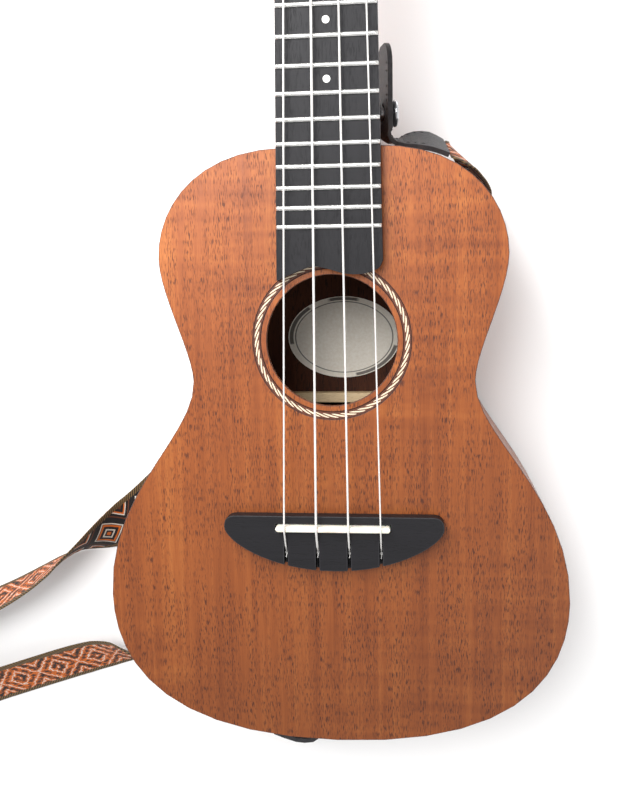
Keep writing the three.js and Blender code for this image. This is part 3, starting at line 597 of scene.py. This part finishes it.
def pearl_material(name, strength):
    s = Surface(name, {"IOR": 1.55, "Coat Weight": 0.5, "Coat Roughness": 0.08})
    place = s.place()
    swirl = s.noise(place, (420, 420, 300), 3.0, 0.6)
    layers = s.noise(place, (1700, 800, 900), 2.0, 0.6)
    stops = [
        (0.28, tone(*(strength * v for v in (214, 205, 196)))),
        (0.45, tone(*(strength * v for v in (244, 240, 232)))),
        (0.58, tone(*(strength * v for v in (232, 238, 232)))),
        (0.75, tone(*(strength * v for v in (240, 226, 226)))),
    ]
    s.bump(layers, 0.05, 0.05 * MM)
    return s.finish(s.ramp(swirl, stops), s.math("ADD", 0.12, s.math("MULTIPLY", layers, 0.2)))


def nylon_material():
    s = Surface("nylon", {"IOR": 1.53, "Transmission Weight": 0.25})
    place = s.place()
    wear = s.noise(place, (2500, 90, 2500), 2.0, 0.6)
    color = s.ramp(wear, [(0.35, tone(226, 222, 218)), (0.65, tone(247, 245, 242))])
    s.bump(wear, 0.05, 0.05 * MM)
    return s.finish(color, s.math("ADD", 0.16, s.math("MULTIPLY", wear, 0.16)))


def leather_material():
    """Black dyed leather: pebbled grain, fine creases, browner where it is rubbed."""
    s = Surface("black_leather", {"IOR": 1.46, "Sheen Weight": 0.08, "Sheen Roughness": 0.5})
    place = s.place()
    pebbles = s.cells(place, (1500, 1500, 1500))
    edges = s.cells(place, (1500, 1500, 1500), "DISTANCE_TO_EDGE")
    crease = s.noise(place, (330, 330, 330), 5.0, 0.65)
    rub = s.level(s.noise(place, (95, 95, 95), 3.0, 0.6), 0.52, 0.75)
    color = s.ramp(crease, [(0.3, tone(30, 30, 33)), (0.7, tone(52, 50, 53))])
    color = s.mix(s.math("MULTIPLY", rub, 0.5), color, solid(tone(72, 66, 64)))
    height = s.math("ADD", s.level(edges, 0.0, 0.12), s.math("MULTIPLY", crease, 0.6))
    s.bump(height, 0.42, 0.22 * MM)
    rough = s.math("ADD", 0.44, s.math("MULTIPLY", pebbles, 0.3))
    return s.finish(color, rough)


def thread_material(name, low, high):
    s = Surface(name, {"IOR": 1.45, "Sheen Weight": 0.2})
    place = s.place()
    twist = s.noise(place, (5200, 5200, 5200), 2.0, 0.6)
    s.bump(twist, 0.5, 0.1 * MM)
    rough = s.math("ADD", 0.55, s.math("MULTIPLY", twist, 0.3))
    return s.finish(s.ramp(twist, [(0.35, low), (0.65, high)]), rough)


def webbing_material():
    """Woven band: nested diamonds on a black face, mottled threads on the back, braided edges.

    The stored vector holds metres along the band, metres across it, and +1 on the face or -1 behind.
    """
    s = Surface("webbing", {"IOR": 1.4, "Sheen Weight": 0.06, "Sheen Roughness": 0.6})
    along, across, side = s.parts(s.stored("band"))[:3]
    black = tone(24, 21, 22)
    white = tone(214, 208, 196)
    orange = tone(202, 100, 26)
    brown = tone(92, 50, 28)
    centre_distance = s.math("ABSOLUTE", across)
    diamond = s.math("ADD", s.math("PINGPONG", along, PATTERN_LENGTH / 2), centre_distance)
    nested = s.math("MULTIPLY", diamond, 1 / (PATTERN_LENGTH / 2 + FIELD_HALF))
    face = s.ramp(
        nested,
        [
            (0.0, orange), (0.07, black), (0.13, white), (0.18, black), (0.28, orange), (0.34, brown),
            (0.37, white), (0.41, black), (0.61, brown), (0.66, black), (0.74, white), (0.78, orange),
            (0.83, black), (0.93, brown),
        ],
        sudden=True,
    )
    threads = s.cells(s.stored("band"), (700, 1300, 1))
    mottle = s.noise(s.stored("band"), (300, 560, 1), 4.0, 0.75)
    zigzag = s.level(s.math("SINE", s.math("MULTIPLY", diamond, 2 * math.pi / ZIGZAG_PITCH)), -1, 1)
    mixed = s.math("ADD", s.math("MULTIPLY", zigzag, 0.34), s.math("MULTIPLY", mottle, 0.66))
    back = s.ramp(
        mixed,
        [
            (0.0, black), (0.29, brown), (0.36, orange), (0.47, white), (0.53, orange), (0.61, brown),
            (0.67, black),
        ],
        sudden=True,
    )
    front = s.level(side, -0.1, 0.1)
    field = s.mix(front, back, face)
    slanted = s.math("ADD", along, centre_distance)
    braid_wave = s.math("SINE", s.math("MULTIPLY", slanted, 2 * math.pi / BRAID_PITCH))
    braid = s.ramp(
        s.level(braid_wave, -1.0, 1.0),
        [(0.0, tone(38, 29, 19)), (0.5, tone(84, 64, 40)), (1.0, tone(122, 98, 62))],
    )
    edge = s.math("GREATER_THAN", centre_distance, FIELD_HALF)
    color = s.mix(edge, field, braid)
    warp = s.math("SINE", s.math("MULTIPLY", across, 2 * math.pi / THREAD_PITCH))
    weft = s.math("SINE", s.math("MULTIPLY", along, 2 * math.pi / PICK_PITCH))
    weave = s.math("MULTIPLY", warp, weft)
    # Painted shade between the threads: the colour darkens where warp and weft dip.
    shade = s.ramp(s.level(weave, -1.0, 1.0), [(0.0, (0.62, 0.62, 0.62)), (1.0, (1.0, 1.0, 1.0))])
    color = s.mix(0.8, color, shade, "MULTIPLY")
    fuzz = s.noise(s.stored("band"), (3000, 3000, 1), 2.0, 0.7)
    height = s.math("ADD", weave, s.math("MULTIPLY", s.math("ADD", fuzz, threads), 0.5))
    s.bump(height, 0.55, 0.18 * MM)
    rough = s.math("ADD", 0.74, s.math("MULTIPLY", fuzz, 0.2))
    return s.finish(color, rough)


def paper_material():
    """A plain oval label: aged paper with a thin ruled oval and three thick arcs outside it."""
    s = Surface("label_paper", {"IOR": 1.45})
    low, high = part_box("label")
    centre = (low + high) / 2
    half = (high - low) / 2
    moved = s.node(
        "ShaderNodeVectorMath", {0: s.place(), 1: tuple(centre)}, operation="SUBTRACT"
    ).outputs[0]
    oval = s.stretched(moved, (1 / half.x, 1 / half.y, 0))
    x, y = s.parts(oval)[:2]
    reach = s.math("SQRT", s.math("ADD", s.math("MULTIPLY", x, x), s.math("MULTIPLY", y, y)))
    turn = s.math("ARCTAN2", y, x)
    paper = s.ramp(
        s.noise(s.place(), (700, 700, 700), 4.0, 0.6),
        [(0.3, tone(240, 230, 214)), (0.7, tone(252, 245, 233))],
    )
    ink = s.math("MULTIPLY", s.level(reach, 0.855, 0.865), s.level(reach, 0.885, 0.875))
    band = s.math("MULTIPLY", s.level(reach, 0.905, 0.915), s.level(reach, 0.985, 0.975))
    for middle, half_turn in LABEL_ARCS:
        away = s.math("COSINE", s.math("SUBTRACT", turn, math.radians(middle)))
        limit = math.cos(math.radians(half_turn))
        arc = s.math("MULTIPLY", band, s.level(away, limit - 0.01, limit + 0.01))
        ink = s.math("MAXIMUM", ink, arc)
    color = s.mix(s.math("MULTIPLY", ink, 0.85), paper, solid(tone(70, 62, 58)))
    fibres = s.noise(s.place(), (2600, 2600, 2600), 3.0, 0.6)
    s.bump(fibres, 0.2, 0.05 * MM)
    return s.finish(color, s.math("ADD", 0.7, s.math("MULTIPLY", fibres, 0.2)))


def floor_material():
    s = Surface("pale_floor", {"IOR": 1.3})
    mottle = s.noise(s.place(), (9, 9, 9), 3.0, 0.5)
    color = s.ramp(mottle, [(0.3, (0.90, 0.90, 0.90)), (0.7, (0.93, 0.93, 0.93))])
    return s.finish(color, s.math("ADD", 0.75, s.math("MULTIPLY", mottle, 0.1)))


BONE = bone_material()
PEARL = pearl_material("pearl", 1.0)
BUTTON_PEARL = pearl_material("button_pearl", 0.82)
NYLON = nylon_material()
LEATHER = leather_material()
BLACK_THREAD = thread_material("black_thread", tone(26, 26, 28), tone(66, 64, 66))
WEBBING = webbing_material()
PAPER = paper_material()
STRAND = thread_material("rope_strand", tone(206, 184, 152), tone(236, 222, 198))
ROPE_BED = thread_material("rope_bed", tone(70, 38, 24), tone(112, 62, 38))

# ---------------------------------------------------------------- strap

STEPS = 8


def spline(points, count):
    """Points along the centripetal Catmull-Rom curve through the given points, evenly by station."""
    made = []
    last = len(points) - 1
    for k in range(count + 1):
        share = last * k / count
        i = min(int(share), last - 1)
        t = share - i
        p1, p2 = points[i], points[i + 1]
        p0 = points[i - 1] if i > 0 else 2 * p1 - p2
        p3 = points[i + 2] if i + 2 <= last else 2 * p2 - p1
        d0, d1, d2 = (math.sqrt((b - a).length) for a, b in ((p0, p1), (p1, p2), (p2, p3)))
        d1 = d1 or 1.0
        d0 = d0 or d1
        d2 = d2 or d1
        leave = ((p1 - p0) / d0 - (p2 - p0) / (d0 + d1) + (p2 - p1) / d1) * d1
        arrive = ((p2 - p1) / d1 - (p3 - p1) / (d1 + d2) + (p3 - p2) / d2) * d1
        cubic = 2 * p1 - 2 * p2 + leave + arrive
        square = -3 * p1 + 3 * p2 - 2 * leave - arrive
        made.append(p1 + leave * t + square * t * t + cubic * t * t * t)
    return made


def band_frames(route, steps=STEPS):
    """Along a band: (centre, direction across, direction off its face, metres travelled)."""
    count = steps * (len(route) - 1)
    centres = spline([Vector(c) for c, _ in route], count)
    across = spline([Vector(a) for _, a in route], count)
    frames = []
    travelled = 0.0
    for i, centre in enumerate(centres):
        travelled += (centre - centres[max(i - 1, 0)]).length
        ahead = (centres[min(i + 1, count)] - centres[max(i - 1, 0)]).normalized()
        side = (across[i] - ahead * across[i].dot(ahead)).normalized()
        frames.append((centre, side, side.cross(ahead), travelled))
    return frames


def webbing():
    """The woven band: a flat field between two rounded, braided edges."""
    half = WEBBING_WIDTH / 2
    profile = [
        (-1.0, 0.10), (-0.985, 0.34), (-0.94, 0.52), (-0.88, 0.50), (-0.83, 0.38), (-0.6, 0.42),
        (-0.3, 0.43), (0.0, 0.43), (0.3, 0.43), (0.6, 0.42), (0.83, 0.38), (0.88, 0.50),
        (0.94, 0.52), (0.985, 0.34), (1.0, 0.10),
    ]
    ring = [(u, h) for u, h in profile] + [(u, -h) for u, h in reversed(profile)]
    frames = band_frames(WEBBING_ROUTE)
    rings = []
    stored = []
    for centre, side, off, travelled in frames:
        rings.append([centre + side * half * u + off * WEBBING_THICK * h for u, h in ring])
        stored += [(travelled, half * u, math.copysign(1, h)) for u, h in ring]
    piece = piece_from("strap_woven", *skin(rings), WEBBING, slot="webbing", smooth=60)
    values = iter(stored)
    note(piece, "band", lambda p: next(values))
    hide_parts("strap")
    return piece, [f[0] for f in frames]


def stitches(name, route, first, last):
    """Two rows of short stitches near the edges of a leather tab, on both its faces."""
    frames = band_frames(route)
    parts = []
    for row in (-1, 1):
        for face in (-1, 1):
            start = first
            while start < last:
                near = [f for f in frames if start <= f[3] <= start + STITCH_LENGTH]
                if len(near) > 1:
                    lift = LEATHER_THICK / 2 - 0.05 * MM
                    path = [
                        c + a * row * STITCH_ROW + n * face * lift for c, a, n, _ in (near[0], near[-1])
                    ]
                    middle = (path[0] + path[1]) / 2 + near[len(near) // 2][2] * face * 0.15 * MM
                    curve = [path[0], middle, path[1]]
                    parts.append(tube(curve, lambda t: 0.30 * MM * (1 - 0.5 * abs(2 * t - 1)), 8))
                start += STITCH_PITCH
    return piece_from(name, *gather(parts), BLACK_THREAD, slot="leather", smooth=80)


strap, strap_line = webbing()
tab_heel = refined("strap_tab_heel", LEATHER, 0.55 * MM, segments=3)
tab_tail = refined("strap_tab_tail", LEATHER, 0.55 * MM, segments=3)
stitches_heel = stitches("strap_stitches_heel", HEEL_TAB_ROUTE, 0.008, 0.056)
stitches_tail = stitches("strap_stitches_tail", TAIL_TAB_ROUTE, 0.008, 0.060)

# ---------------------------------------------------------------- body

SHAPES = {
    # The fourth entry is the edge material; on the top and back it is painted shade on the rounded edge.
    "soundboard": (MAHOGANY_TOP, 0.5 * MM, None, INLAY_AND_EDGE_SHADE_WOOD),
    "back_plate": (MAHOGANY_BACK, 0.6 * MM, None, INLAY_AND_EDGE_SHADE_WOOD),
    "rib_bass": (MAHOGANY_RIBS, 0, around_body, None),
    "rib_treble": (MAHOGANY_RIBS, 0, around_body, None),
    "neck": (MAHOGANY, 0.5 * MM, None, None),
    "neck_block": (MAHOGANY, 0.5 * MM, None, None),
    "tail_block": (MAHOGANY, 0.5 * MM, None, None),
    "lining_top_bass": (SPRUCE_BENT, 0.4 * MM, around_body, None),
    "lining_top_treble": (SPRUCE_BENT, 0.4 * MM, around_body, None),
    "lining_back_bass": (SPRUCE_BENT, 0.4 * MM, around_body, None),
    "lining_back_treble": (SPRUCE_BENT, 0.4 * MM, around_body, None),
    "top_brace_upper": (SPRUCE_ACROSS, 0.8 * MM, None, None),
    "top_brace_lower": (SPRUCE_ACROSS, 0.8 * MM, None, None),
    "back_brace_upper": (SPRUCE_ACROSS, 0.8 * MM, None, None),
    "back_brace_lower": (SPRUCE_ACROSS, 0.8 * MM, None, None),
    "bridge_plate": (SPRUCE_ACROSS, 0.4 * MM, None, None),
    "fan_brace": (SPRUCE, 0.8 * MM, None, None),
    "heel_cap": (DARK_WOOD, 0.3 * MM, None, DARK_EDGE),
    "head_plate": (DARK_WOOD, 0.3 * MM, None, DARK_EDGE),
    "fingerboard": (DARK_WOOD, 0.2 * MM, None, DARK_EDGE),
    "bridge": (BRIDGE_WOOD, 0.45 * MM, None, DARK_EDGE),
    "nut": (BONE, 0.25 * MM, None, None),
    "label": (PAPER, 0, None, None),
}
for node, (material, bevel, grain, edge) in SHAPES.items():
    refined(node, material, bevel, grain, edge)


def saddle():
    """A bone bar with round ends and a rounded crown."""
    low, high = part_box("saddle")
    middle = (low + high) / 2
    half_length = (high.x - low.x) / 2
    half_width = (high.y - low.y) / 2
    crown = 0.9 * MM
    rings = []
    stations = [math.pi * k / 12 for k in range(13)]
    for t in stations:
        offset = (half_length - half_width) if t > math.pi / 2 else half_width - half_length
        x = middle.x + offset - half_width * math.cos(t)
        width = max(half_width * math.sin(t), 0.02 * MM)
        top = high.z - crown * (1 - math.sin(t)) * 0.6
        ring = [Vector((x, middle.y - width, low.z)), Vector((x, middle.y - width, top - crown))]
        for k in range(1, 8):
            a = math.pi * k / 8
            ring.append(Vector((x, middle.y - width * math.cos(a), top - crown * (1 - math.sin(a)))))
        ring += [Vector((x, middle.y + width, top - crown)), Vector((x, middle.y + width, low.z))]
        rings.append(ring)
    bar = piece_from("saddle_detail", *skin(rings), BONE, smooth=50)
    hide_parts("saddle")


saddle()

# ---------------------------------------------------------------- rosette

STRAND_COUNT = 52


def ring(inner, outer, low, high, segments=160):
    """A flat ring with square edges, as a closed tube of four corners."""
    corners = [(inner, low), (inner, high), (outer, high), (outer, low)]
    rings = []
    for k in range(segments):
        t = 2 * math.pi * k / segments
        rings.append([Vector((r * math.cos(t), SOUNDHOLE_Y + r * math.sin(t), z)) for r, z in corners])
    return skin(rings, closed=True)


def rope_strands(inner, outer):
    """Slanted, gently domed strands laid side by side round the soundhole."""
    parts = []
    pitch = 2 * math.pi / STRAND_COUNT
    for k in range(STRAND_COUNT):
        rings = []
        for j in range(7):
            share = j / 6
            r = inner + (outer - inner) * share
            slant = pitch * (k + 1.5 * share)
            width = pitch * 0.34 * (1 - 0.45 * (2 * share - 1) ** 6)
            section = []
            for turn, height in ((-1, -0.3), (-0.85, 0.0), (0, 0.07), (0.85, 0.0), (1, -0.3)):
                t = slant + turn * width
                section.append(
                    Vector((r * math.cos(t), SOUNDHOLE_Y + r * math.sin(t), TOP_Z + height * MM))
                )
            rings.append(section)
        parts.append(skin(rings))
    return gather(parts)


INLAY_LOW = TOP_Z - 0.6 * MM
LINE = 0.7 * MM
bed = piece_from(
    "rosette_bed",
    *ring(ROSETTE_INNER + LINE, ROSETTE_OUTER - LINE, INLAY_LOW, TOP_Z - 0.06 * MM),
    ROPE_BED,
    slot="rosette_inlay",
)
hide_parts("rosette")
lines = [
    ring(ROSETTE_INNER, ROSETTE_INNER + LINE, INLAY_LOW, TOP_Z),
    ring(ROSETTE_OUTER - LINE, ROSETTE_OUTER, INLAY_LOW, TOP_Z),
]
piece_from("rosette_lines", *gather(lines), INLAY_AND_EDGE_SHADE_WOOD, slot="rosette_inlay")
rope = piece_from(
    "rosette_rope", *rope_strands(ROSETTE_INNER + LINE, ROSETTE_OUTER - LINE), STRAND, smooth=50
)

# ---------------------------------------------------------------- frets and position dots


def fret_y(n):
    return NUT_Y - SCALE_LENGTH * (1 - 2 ** (-n / 12))


def board_half(y):
    share = (y - BOARD_END_Y) / (NUT_Y - BOARD_END_Y)
    return BOARD_HALF_AT_END + (BOARD_HALF_AT_NUT - BOARD_HALF_AT_END) * share


def fret(n):
    """A crowned wire with filed, rounded ends."""
    y = fret_y(n)
    half = board_half(y) - 0.05 * MM
    ends = [(0.0, 0.25), (0.18, 0.55), (0.45, 0.8), (0.9, 0.96), (1.5, 1.0)]
    stations = [(-half + x * MM, s) for x, s in ends] + [(half - x * MM, s) for x, s in reversed(ends)]
    rings = []
    for x, size in stations:
        arch = []
        for k in range(13):
            t = math.pi * k / 12
            across = FRET_WIDTH / 2 * (0.6 + 0.4 * size) * math.cos(t)
            arch.append(Vector((x, y + across, BOARD_TOP + GLUE + FRET_HEIGHT * size * math.sin(t))))
        rings.append(arch)
    piece = piece_from(f"fret_{n:02d}", *skin(rings), NICKEL, slot="fret_metal", smooth=50)
    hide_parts("frets")


for number in range(1, FRET_COUNT + 1):
    fret(number)

DOT_SPACES = (5, 7, 10, 12)
DOT = [(0.0, 0.07), (1.2, 0.06), (1.5, 0.04), (1.6, 0.01), (1.6, -0.8), (0.0, -0.8)]
SIDE_DOT = [(0.0, 0.06), (0.6, 0.05), (0.75, 0.01), (0.75, -0.6), (0.0, -0.6)]


def profile(pairs):
    """(radius, height) pairs from millimetres, with a hair's width in place of a zero radius."""
    return [(max(r, 0.02) * MM, h * MM) for r, h in pairs]


for number in DOT_SPACES:
    y = (fret_y(number) + fret_y(number - 1)) / 2
    dot = turned(profile(DOT), Matrix.Translation((0, y, BOARD_TOP)))
    piece_from(f"dot_{number:02d}", *dot, PEARL, slot="bone", smooth=30)
    edge = Matrix.Translation((-board_half(y), y, BOARD_TOP - 2.4 * MM))
    side_dot = turned(profile(SIDE_DOT), edge @ Matrix.Rotation(-math.pi / 2, 4, "Y"), 20)
    piece_from(f"side_dot_{number:02d}", *side_dot, PEARL, slot="bone", smooth=30)

# ---------------------------------------------------------------- strings

WINDINGS = 2.5
POST_WAIST = 2.5 * MM
STRING_SADDLE_Z = 0.0806
STRING_NUT_Z = 0.0773
NUT_THICK = 0.0043


def on_head(x, y, z):
    return HEAD @ Vector((x, y, z))


def string_route(name):
    place, diameter = STRINGS[name]
    side, post_y = TUNERS[name]
    xs = place * STRING_HALF_AT_SADDLE
    xn = place * STRING_HALF_AT_NUT
    post_x = side * (POST_X - POST_RADIUS - diameter / 2 - 0.3 * MM)
    return [
        Vector((xs, -0.0118, 0.0735)),
        Vector((xs, -0.0102, 0.0746)),
        Vector((xs, -0.0085, 0.0763)),
        Vector((xs, -0.0018, 0.07992)),
        Vector((xs, -0.0006, STRING_SADDLE_Z)),
        Vector((xs, 0.0006, STRING_SADDLE_Z)),
        Vector((xn, NUT_Y + 0.0005, STRING_NUT_Z)),
        Vector((xn, NUT_Y + NUT_THICK - 0.0003, STRING_NUT_Z - 0.00002)),
        on_head(post_x, post_y - 0.004, 0.0056),
        on_head(post_x, post_y, 0.0055),
    ]


def winding(name):
    """Turns round the post, spiralling in from where the string meets it, down the waist."""
    diameter = STRINGS[name][1]
    side, post_y = TUNERS[name]
    outer = POST_RADIUS + diameter / 2 + 0.3 * MM
    inner = POST_WAIST + diameter / 2 + 0.05 * MM
    count = 90
    path = []
    for k in range(count + 1):
        turn = 2 * math.pi * WINDINGS * k / count
        radius = inner + (outer - inner) * max(0.0, 1 - turn / math.pi)
        angle = math.pi - turn if side > 0 else turn
        height = 0.0055 + 0.0006 * min(turn / math.pi, 1.0) - diameter * 0.52 * turn / (2 * math.pi)
        centre = (side * POST_X, post_y)
        path.append(
            on_head(centre[0] + radius * math.cos(angle), centre[1] + radius * math.sin(angle), height)
        )
    return tube(path, diameter / 2, 10)


def knot(name):
    """The small tied end that holds the string behind its slot in the bridge."""
    place, diameter = STRINGS[name]
    centre = Vector((place * STRING_HALF_AT_SADDLE, -0.0124, 0.0734))
    size = 0.2 * MM
    path = []
    for k in range(49):
        t = 2 * math.pi * k / 48 * 0.985
        path.append(
            centre
            + Vector(
                (
                    size * (math.sin(t) + 2 * math.sin(2 * t)) * 0.7,
                    size * (math.cos(t) - 2 * math.cos(2 * t)),
                    size * -math.sin(3 * t) * 1.1,
                )
            )
        )
    tail = [path[-1], path[-1] + Vector((0.1, -0.9, 0.5)) * MM, path[-1] + Vector((-0.1, -1.9, 0.9)) * MM]
    radius = min(diameter / 2, 0.3 * MM)
    return gather([tube(path, radius, 8), tube(tail, radius, 8)])


for name, (place, diameter) in STRINGS.items():
    line = tube(string_route(name), diameter / 2, 14)
    string = piece_from(f"string_{name}_line", *line, NYLON, slot="nylon", smooth=50)
    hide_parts(f"string_{name}")
    piece_from(f"string_{name}_knot", *knot(name), NYLON, slot="nylon", smooth=80)
    piece_from(f"string_{name}_winding", *winding(name), NYLON, f"post_{name}", "nylon", 80)

# ---------------------------------------------------------------- tuning machines and buttons

KNOB = [
    (0.0, 0.0), (2.4, 0.0), (2.6, 0.3), (2.9, 1.5), (3.9, 2.5), (5.5, 3.4), (6.5, 4.7), (6.95, 6.2),
    (7.0, 7.6), (6.75, 9.6), (6.0, 11.2), (4.8, 12.4), (3.4, 13.1), (2.0, 13.45), (0.0, 13.5),
]
POST = [
    (0.0, -15.8), (3.0, -15.8), (3.0, 3.3), (2.85, 3.6), (2.5, 4.2), (2.5, 7.4), (2.7, 7.9), (3.0, 8.4),
    (3.0, 11.2), (2.85, 11.9), (2.4, 12.35), (1.4, 12.48), (0.0, 12.5),
]
BUSHING = [
    (3.3, -9.0), (4.1, -9.0), (4.1, 0.25), (5.2, 0.25), (5.3, 0.4), (5.25, 0.9), (5.05, 1.25),
    (4.3, 1.6), (3.9, 1.7), (3.3, 1.7),
]
STRAP_BUTTON = [
    (0.0, 0.0), (5.9, 0.0), (6.0, 0.15), (5.9, 0.85), (4.4, 1.1), (3.5, 1.6), (3.4, 2.4), (3.4, 4.6),
    (3.5, 6.0), (3.8, 6.5), (5.2, 7.1), (6.0, 7.7), (6.2, 8.4), (5.9, 9.1), (5.0, 9.6), (3.2, 9.7),
    (2.9, 9.3), (1.6, 9.3), (1.3, 9.6), (0.0, 9.7),
]
SCREW = [(0.0, 0.55), (0.5, 0.52), (0.9, 0.42), (1.25, 0.22), (1.4, 0.0), (1.4, -0.2), (0.0, -0.2)]


def screw(place, scale=1.0):
    """A domed screw head with a straight slot."""
    points, faces = turned(profile(SCREW), Matrix.Scale(scale, 4), 28)
    slotted = []
    for p in points:
        deep = abs(p.x) < 0.22 * MM * scale and p.z > 0
        slotted.append(place @ Vector((p.x, p.y, p.z - 0.35 * MM * scale if deep else p.z)))
    return slotted, faces


for name, (side, post_y) in TUNERS.items():
    worm_y = post_y + WORM_OFFSET
    post_place = HEAD @ Matrix.Translation((side * POST_X, post_y, 0))
    knob_place = HEAD @ Matrix.Translation((side * KNOB_START, worm_y, WORM_DROP))
    knob_place = knob_place @ Matrix.Rotation(side * math.pi / 2, 4, "Y")
    for kind in ("plate", "worm", "gear"):
        refined(f"tuner_{name}_{kind}", CHROME, 0.12 * MM)
    post = piece_from(
        f"tuner_{name}_post_detail", *turned(profile(POST), post_place), CHROME, f"post_{name}", "chrome", 35
    )
    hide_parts(f"tuner_{name}_post")
    bore = turned(profile(BUSHING), post_place)
    collar_points = bore[0]
    collar_faces = [face for face in bore[1] if len(face) == 4]
    last_ring = len(collar_points) - 40
    collar_faces += [(last_ring + i, last_ring + (i + 1) % 40, (i + 1) % 40, i) for i in range(40)]
    collar = piece_from(
        f"tuner_{name}_bushing_detail", collar_points, collar_faces, CHROME, slot="chrome", smooth=35
    )
    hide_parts(f"tuner_{name}_bushing")
    knob = piece_from(
        f"tuner_{name}_knob",
        *turned(profile(KNOB), knob_place, 48, 0.62),
        BUTTON_PEARL,
        f"peg_{name}",
        "tuner_button",
        50,
    )
    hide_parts(f"tuner_{name}_button")
    screws = []
    for dx, dy in ((-6.4, -5.1), (6.4, -5.1), (-6.4, 9.9), (6.4, 9.9)):
        spot = Matrix.Translation((side * POST_X + dx * MM, post_y + dy * MM, PLATE_LOW))
        turn = Matrix.Rotation(math.pi, 4, "X") @ Matrix.Rotation(random_turn.uniform(0, math.pi), 4, "Z")
        screws.append(screw(HEAD @ spot @ turn, 0.8))
    piece_from(f"tuner_{name}_screws", *gather(screws), CHROME, slot="chrome", smooth=35)

BUTTONS = {
    "heel": Matrix.Translation((0.0196, 0.186, 0.042)) @ Matrix.Rotation(math.pi / 2 + HEEL_LEAN, 4, "Y"),
    "tail": Matrix.Translation((0, -0.1056, 0.035)) @ Matrix.Rotation(math.pi / 2, 4, "X"),
}
for end, place in BUTTONS.items():
    knob = piece_from(
        f"strap_button_{end}_detail",
        *turned(profile(STRAP_BUTTON), place, 48),
        CHROME,
        slot="chrome",
        smooth=35,
    )
    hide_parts(f"strap_button_{end}")
    head = screw(place @ Matrix.Translation((0, 0, 9.35 * MM)) @ Matrix.Rotation(0.6, 4, "Z"), 1.1)
    piece_from(f"strap_button_{end}_screw", *head, CHROME, slot="chrome", smooth=35)

# ---------------------------------------------------------------- floor and light


def ground():
    size = 3.0
    steps = 24
    points = []
    for j in range(steps + 1):
        for i in range(steps + 1):
            points.append(
                Vector((size * (2 * i / steps - 1), size * (2 * j / steps - 1), CAD_LOW.z - 0.1 * MM))
            )
    faces = []
    for j in range(steps):
        for i in range(steps):
            a = j * (steps + 1) + i
            faces.append((a, a + 1, a + steps + 2, a + steps + 1))
    mesh = bpy.data.meshes.new("ground")
    mesh.from_pydata([tuple(p) for p in points], [], faces)
    mesh.materials.append(floor_material())
    floor = bpy.data.objects.new("ground", mesh)
    scene.collection.objects.link(floor)


def area_light(name, place, target, size, power):
    light = bpy.data.lights.new(name, "AREA")
    light.shape = "DISK"
    light.size = size
    light.energy = power
    lamp = bpy.data.objects.new(name, light)
    lamp.location = place
    lamp.rotation_euler = (Vector(target) - Vector(place)).to_track_quat("-Z", "Y").to_euler()
    lamp.visible_camera = False
    scene.collection.objects.link(lamp)


ground()
area_light("window", (-0.20, 0.42, 0.36), (0, 0.03, 0.04), 0.28, 2.2)
area_light("ceiling", (-0.34, 0.62, 1.35), (0, 0.08, 0.04), 0.8, 15.0)
area_light("fill", (0.9, -0.5, 1.3), (0, 0.05, 0.05), 1.2, 4.0)
world = bpy.data.worlds.new("studio")
scene.world = world
world.use_nodes = True
world.node_tree.nodes["Background"].inputs["Color"].default_value = (1.0, 1.0, 1.0, 1)
world.node_tree.nodes["Background"].inputs["Strength"].default_value = 0.76
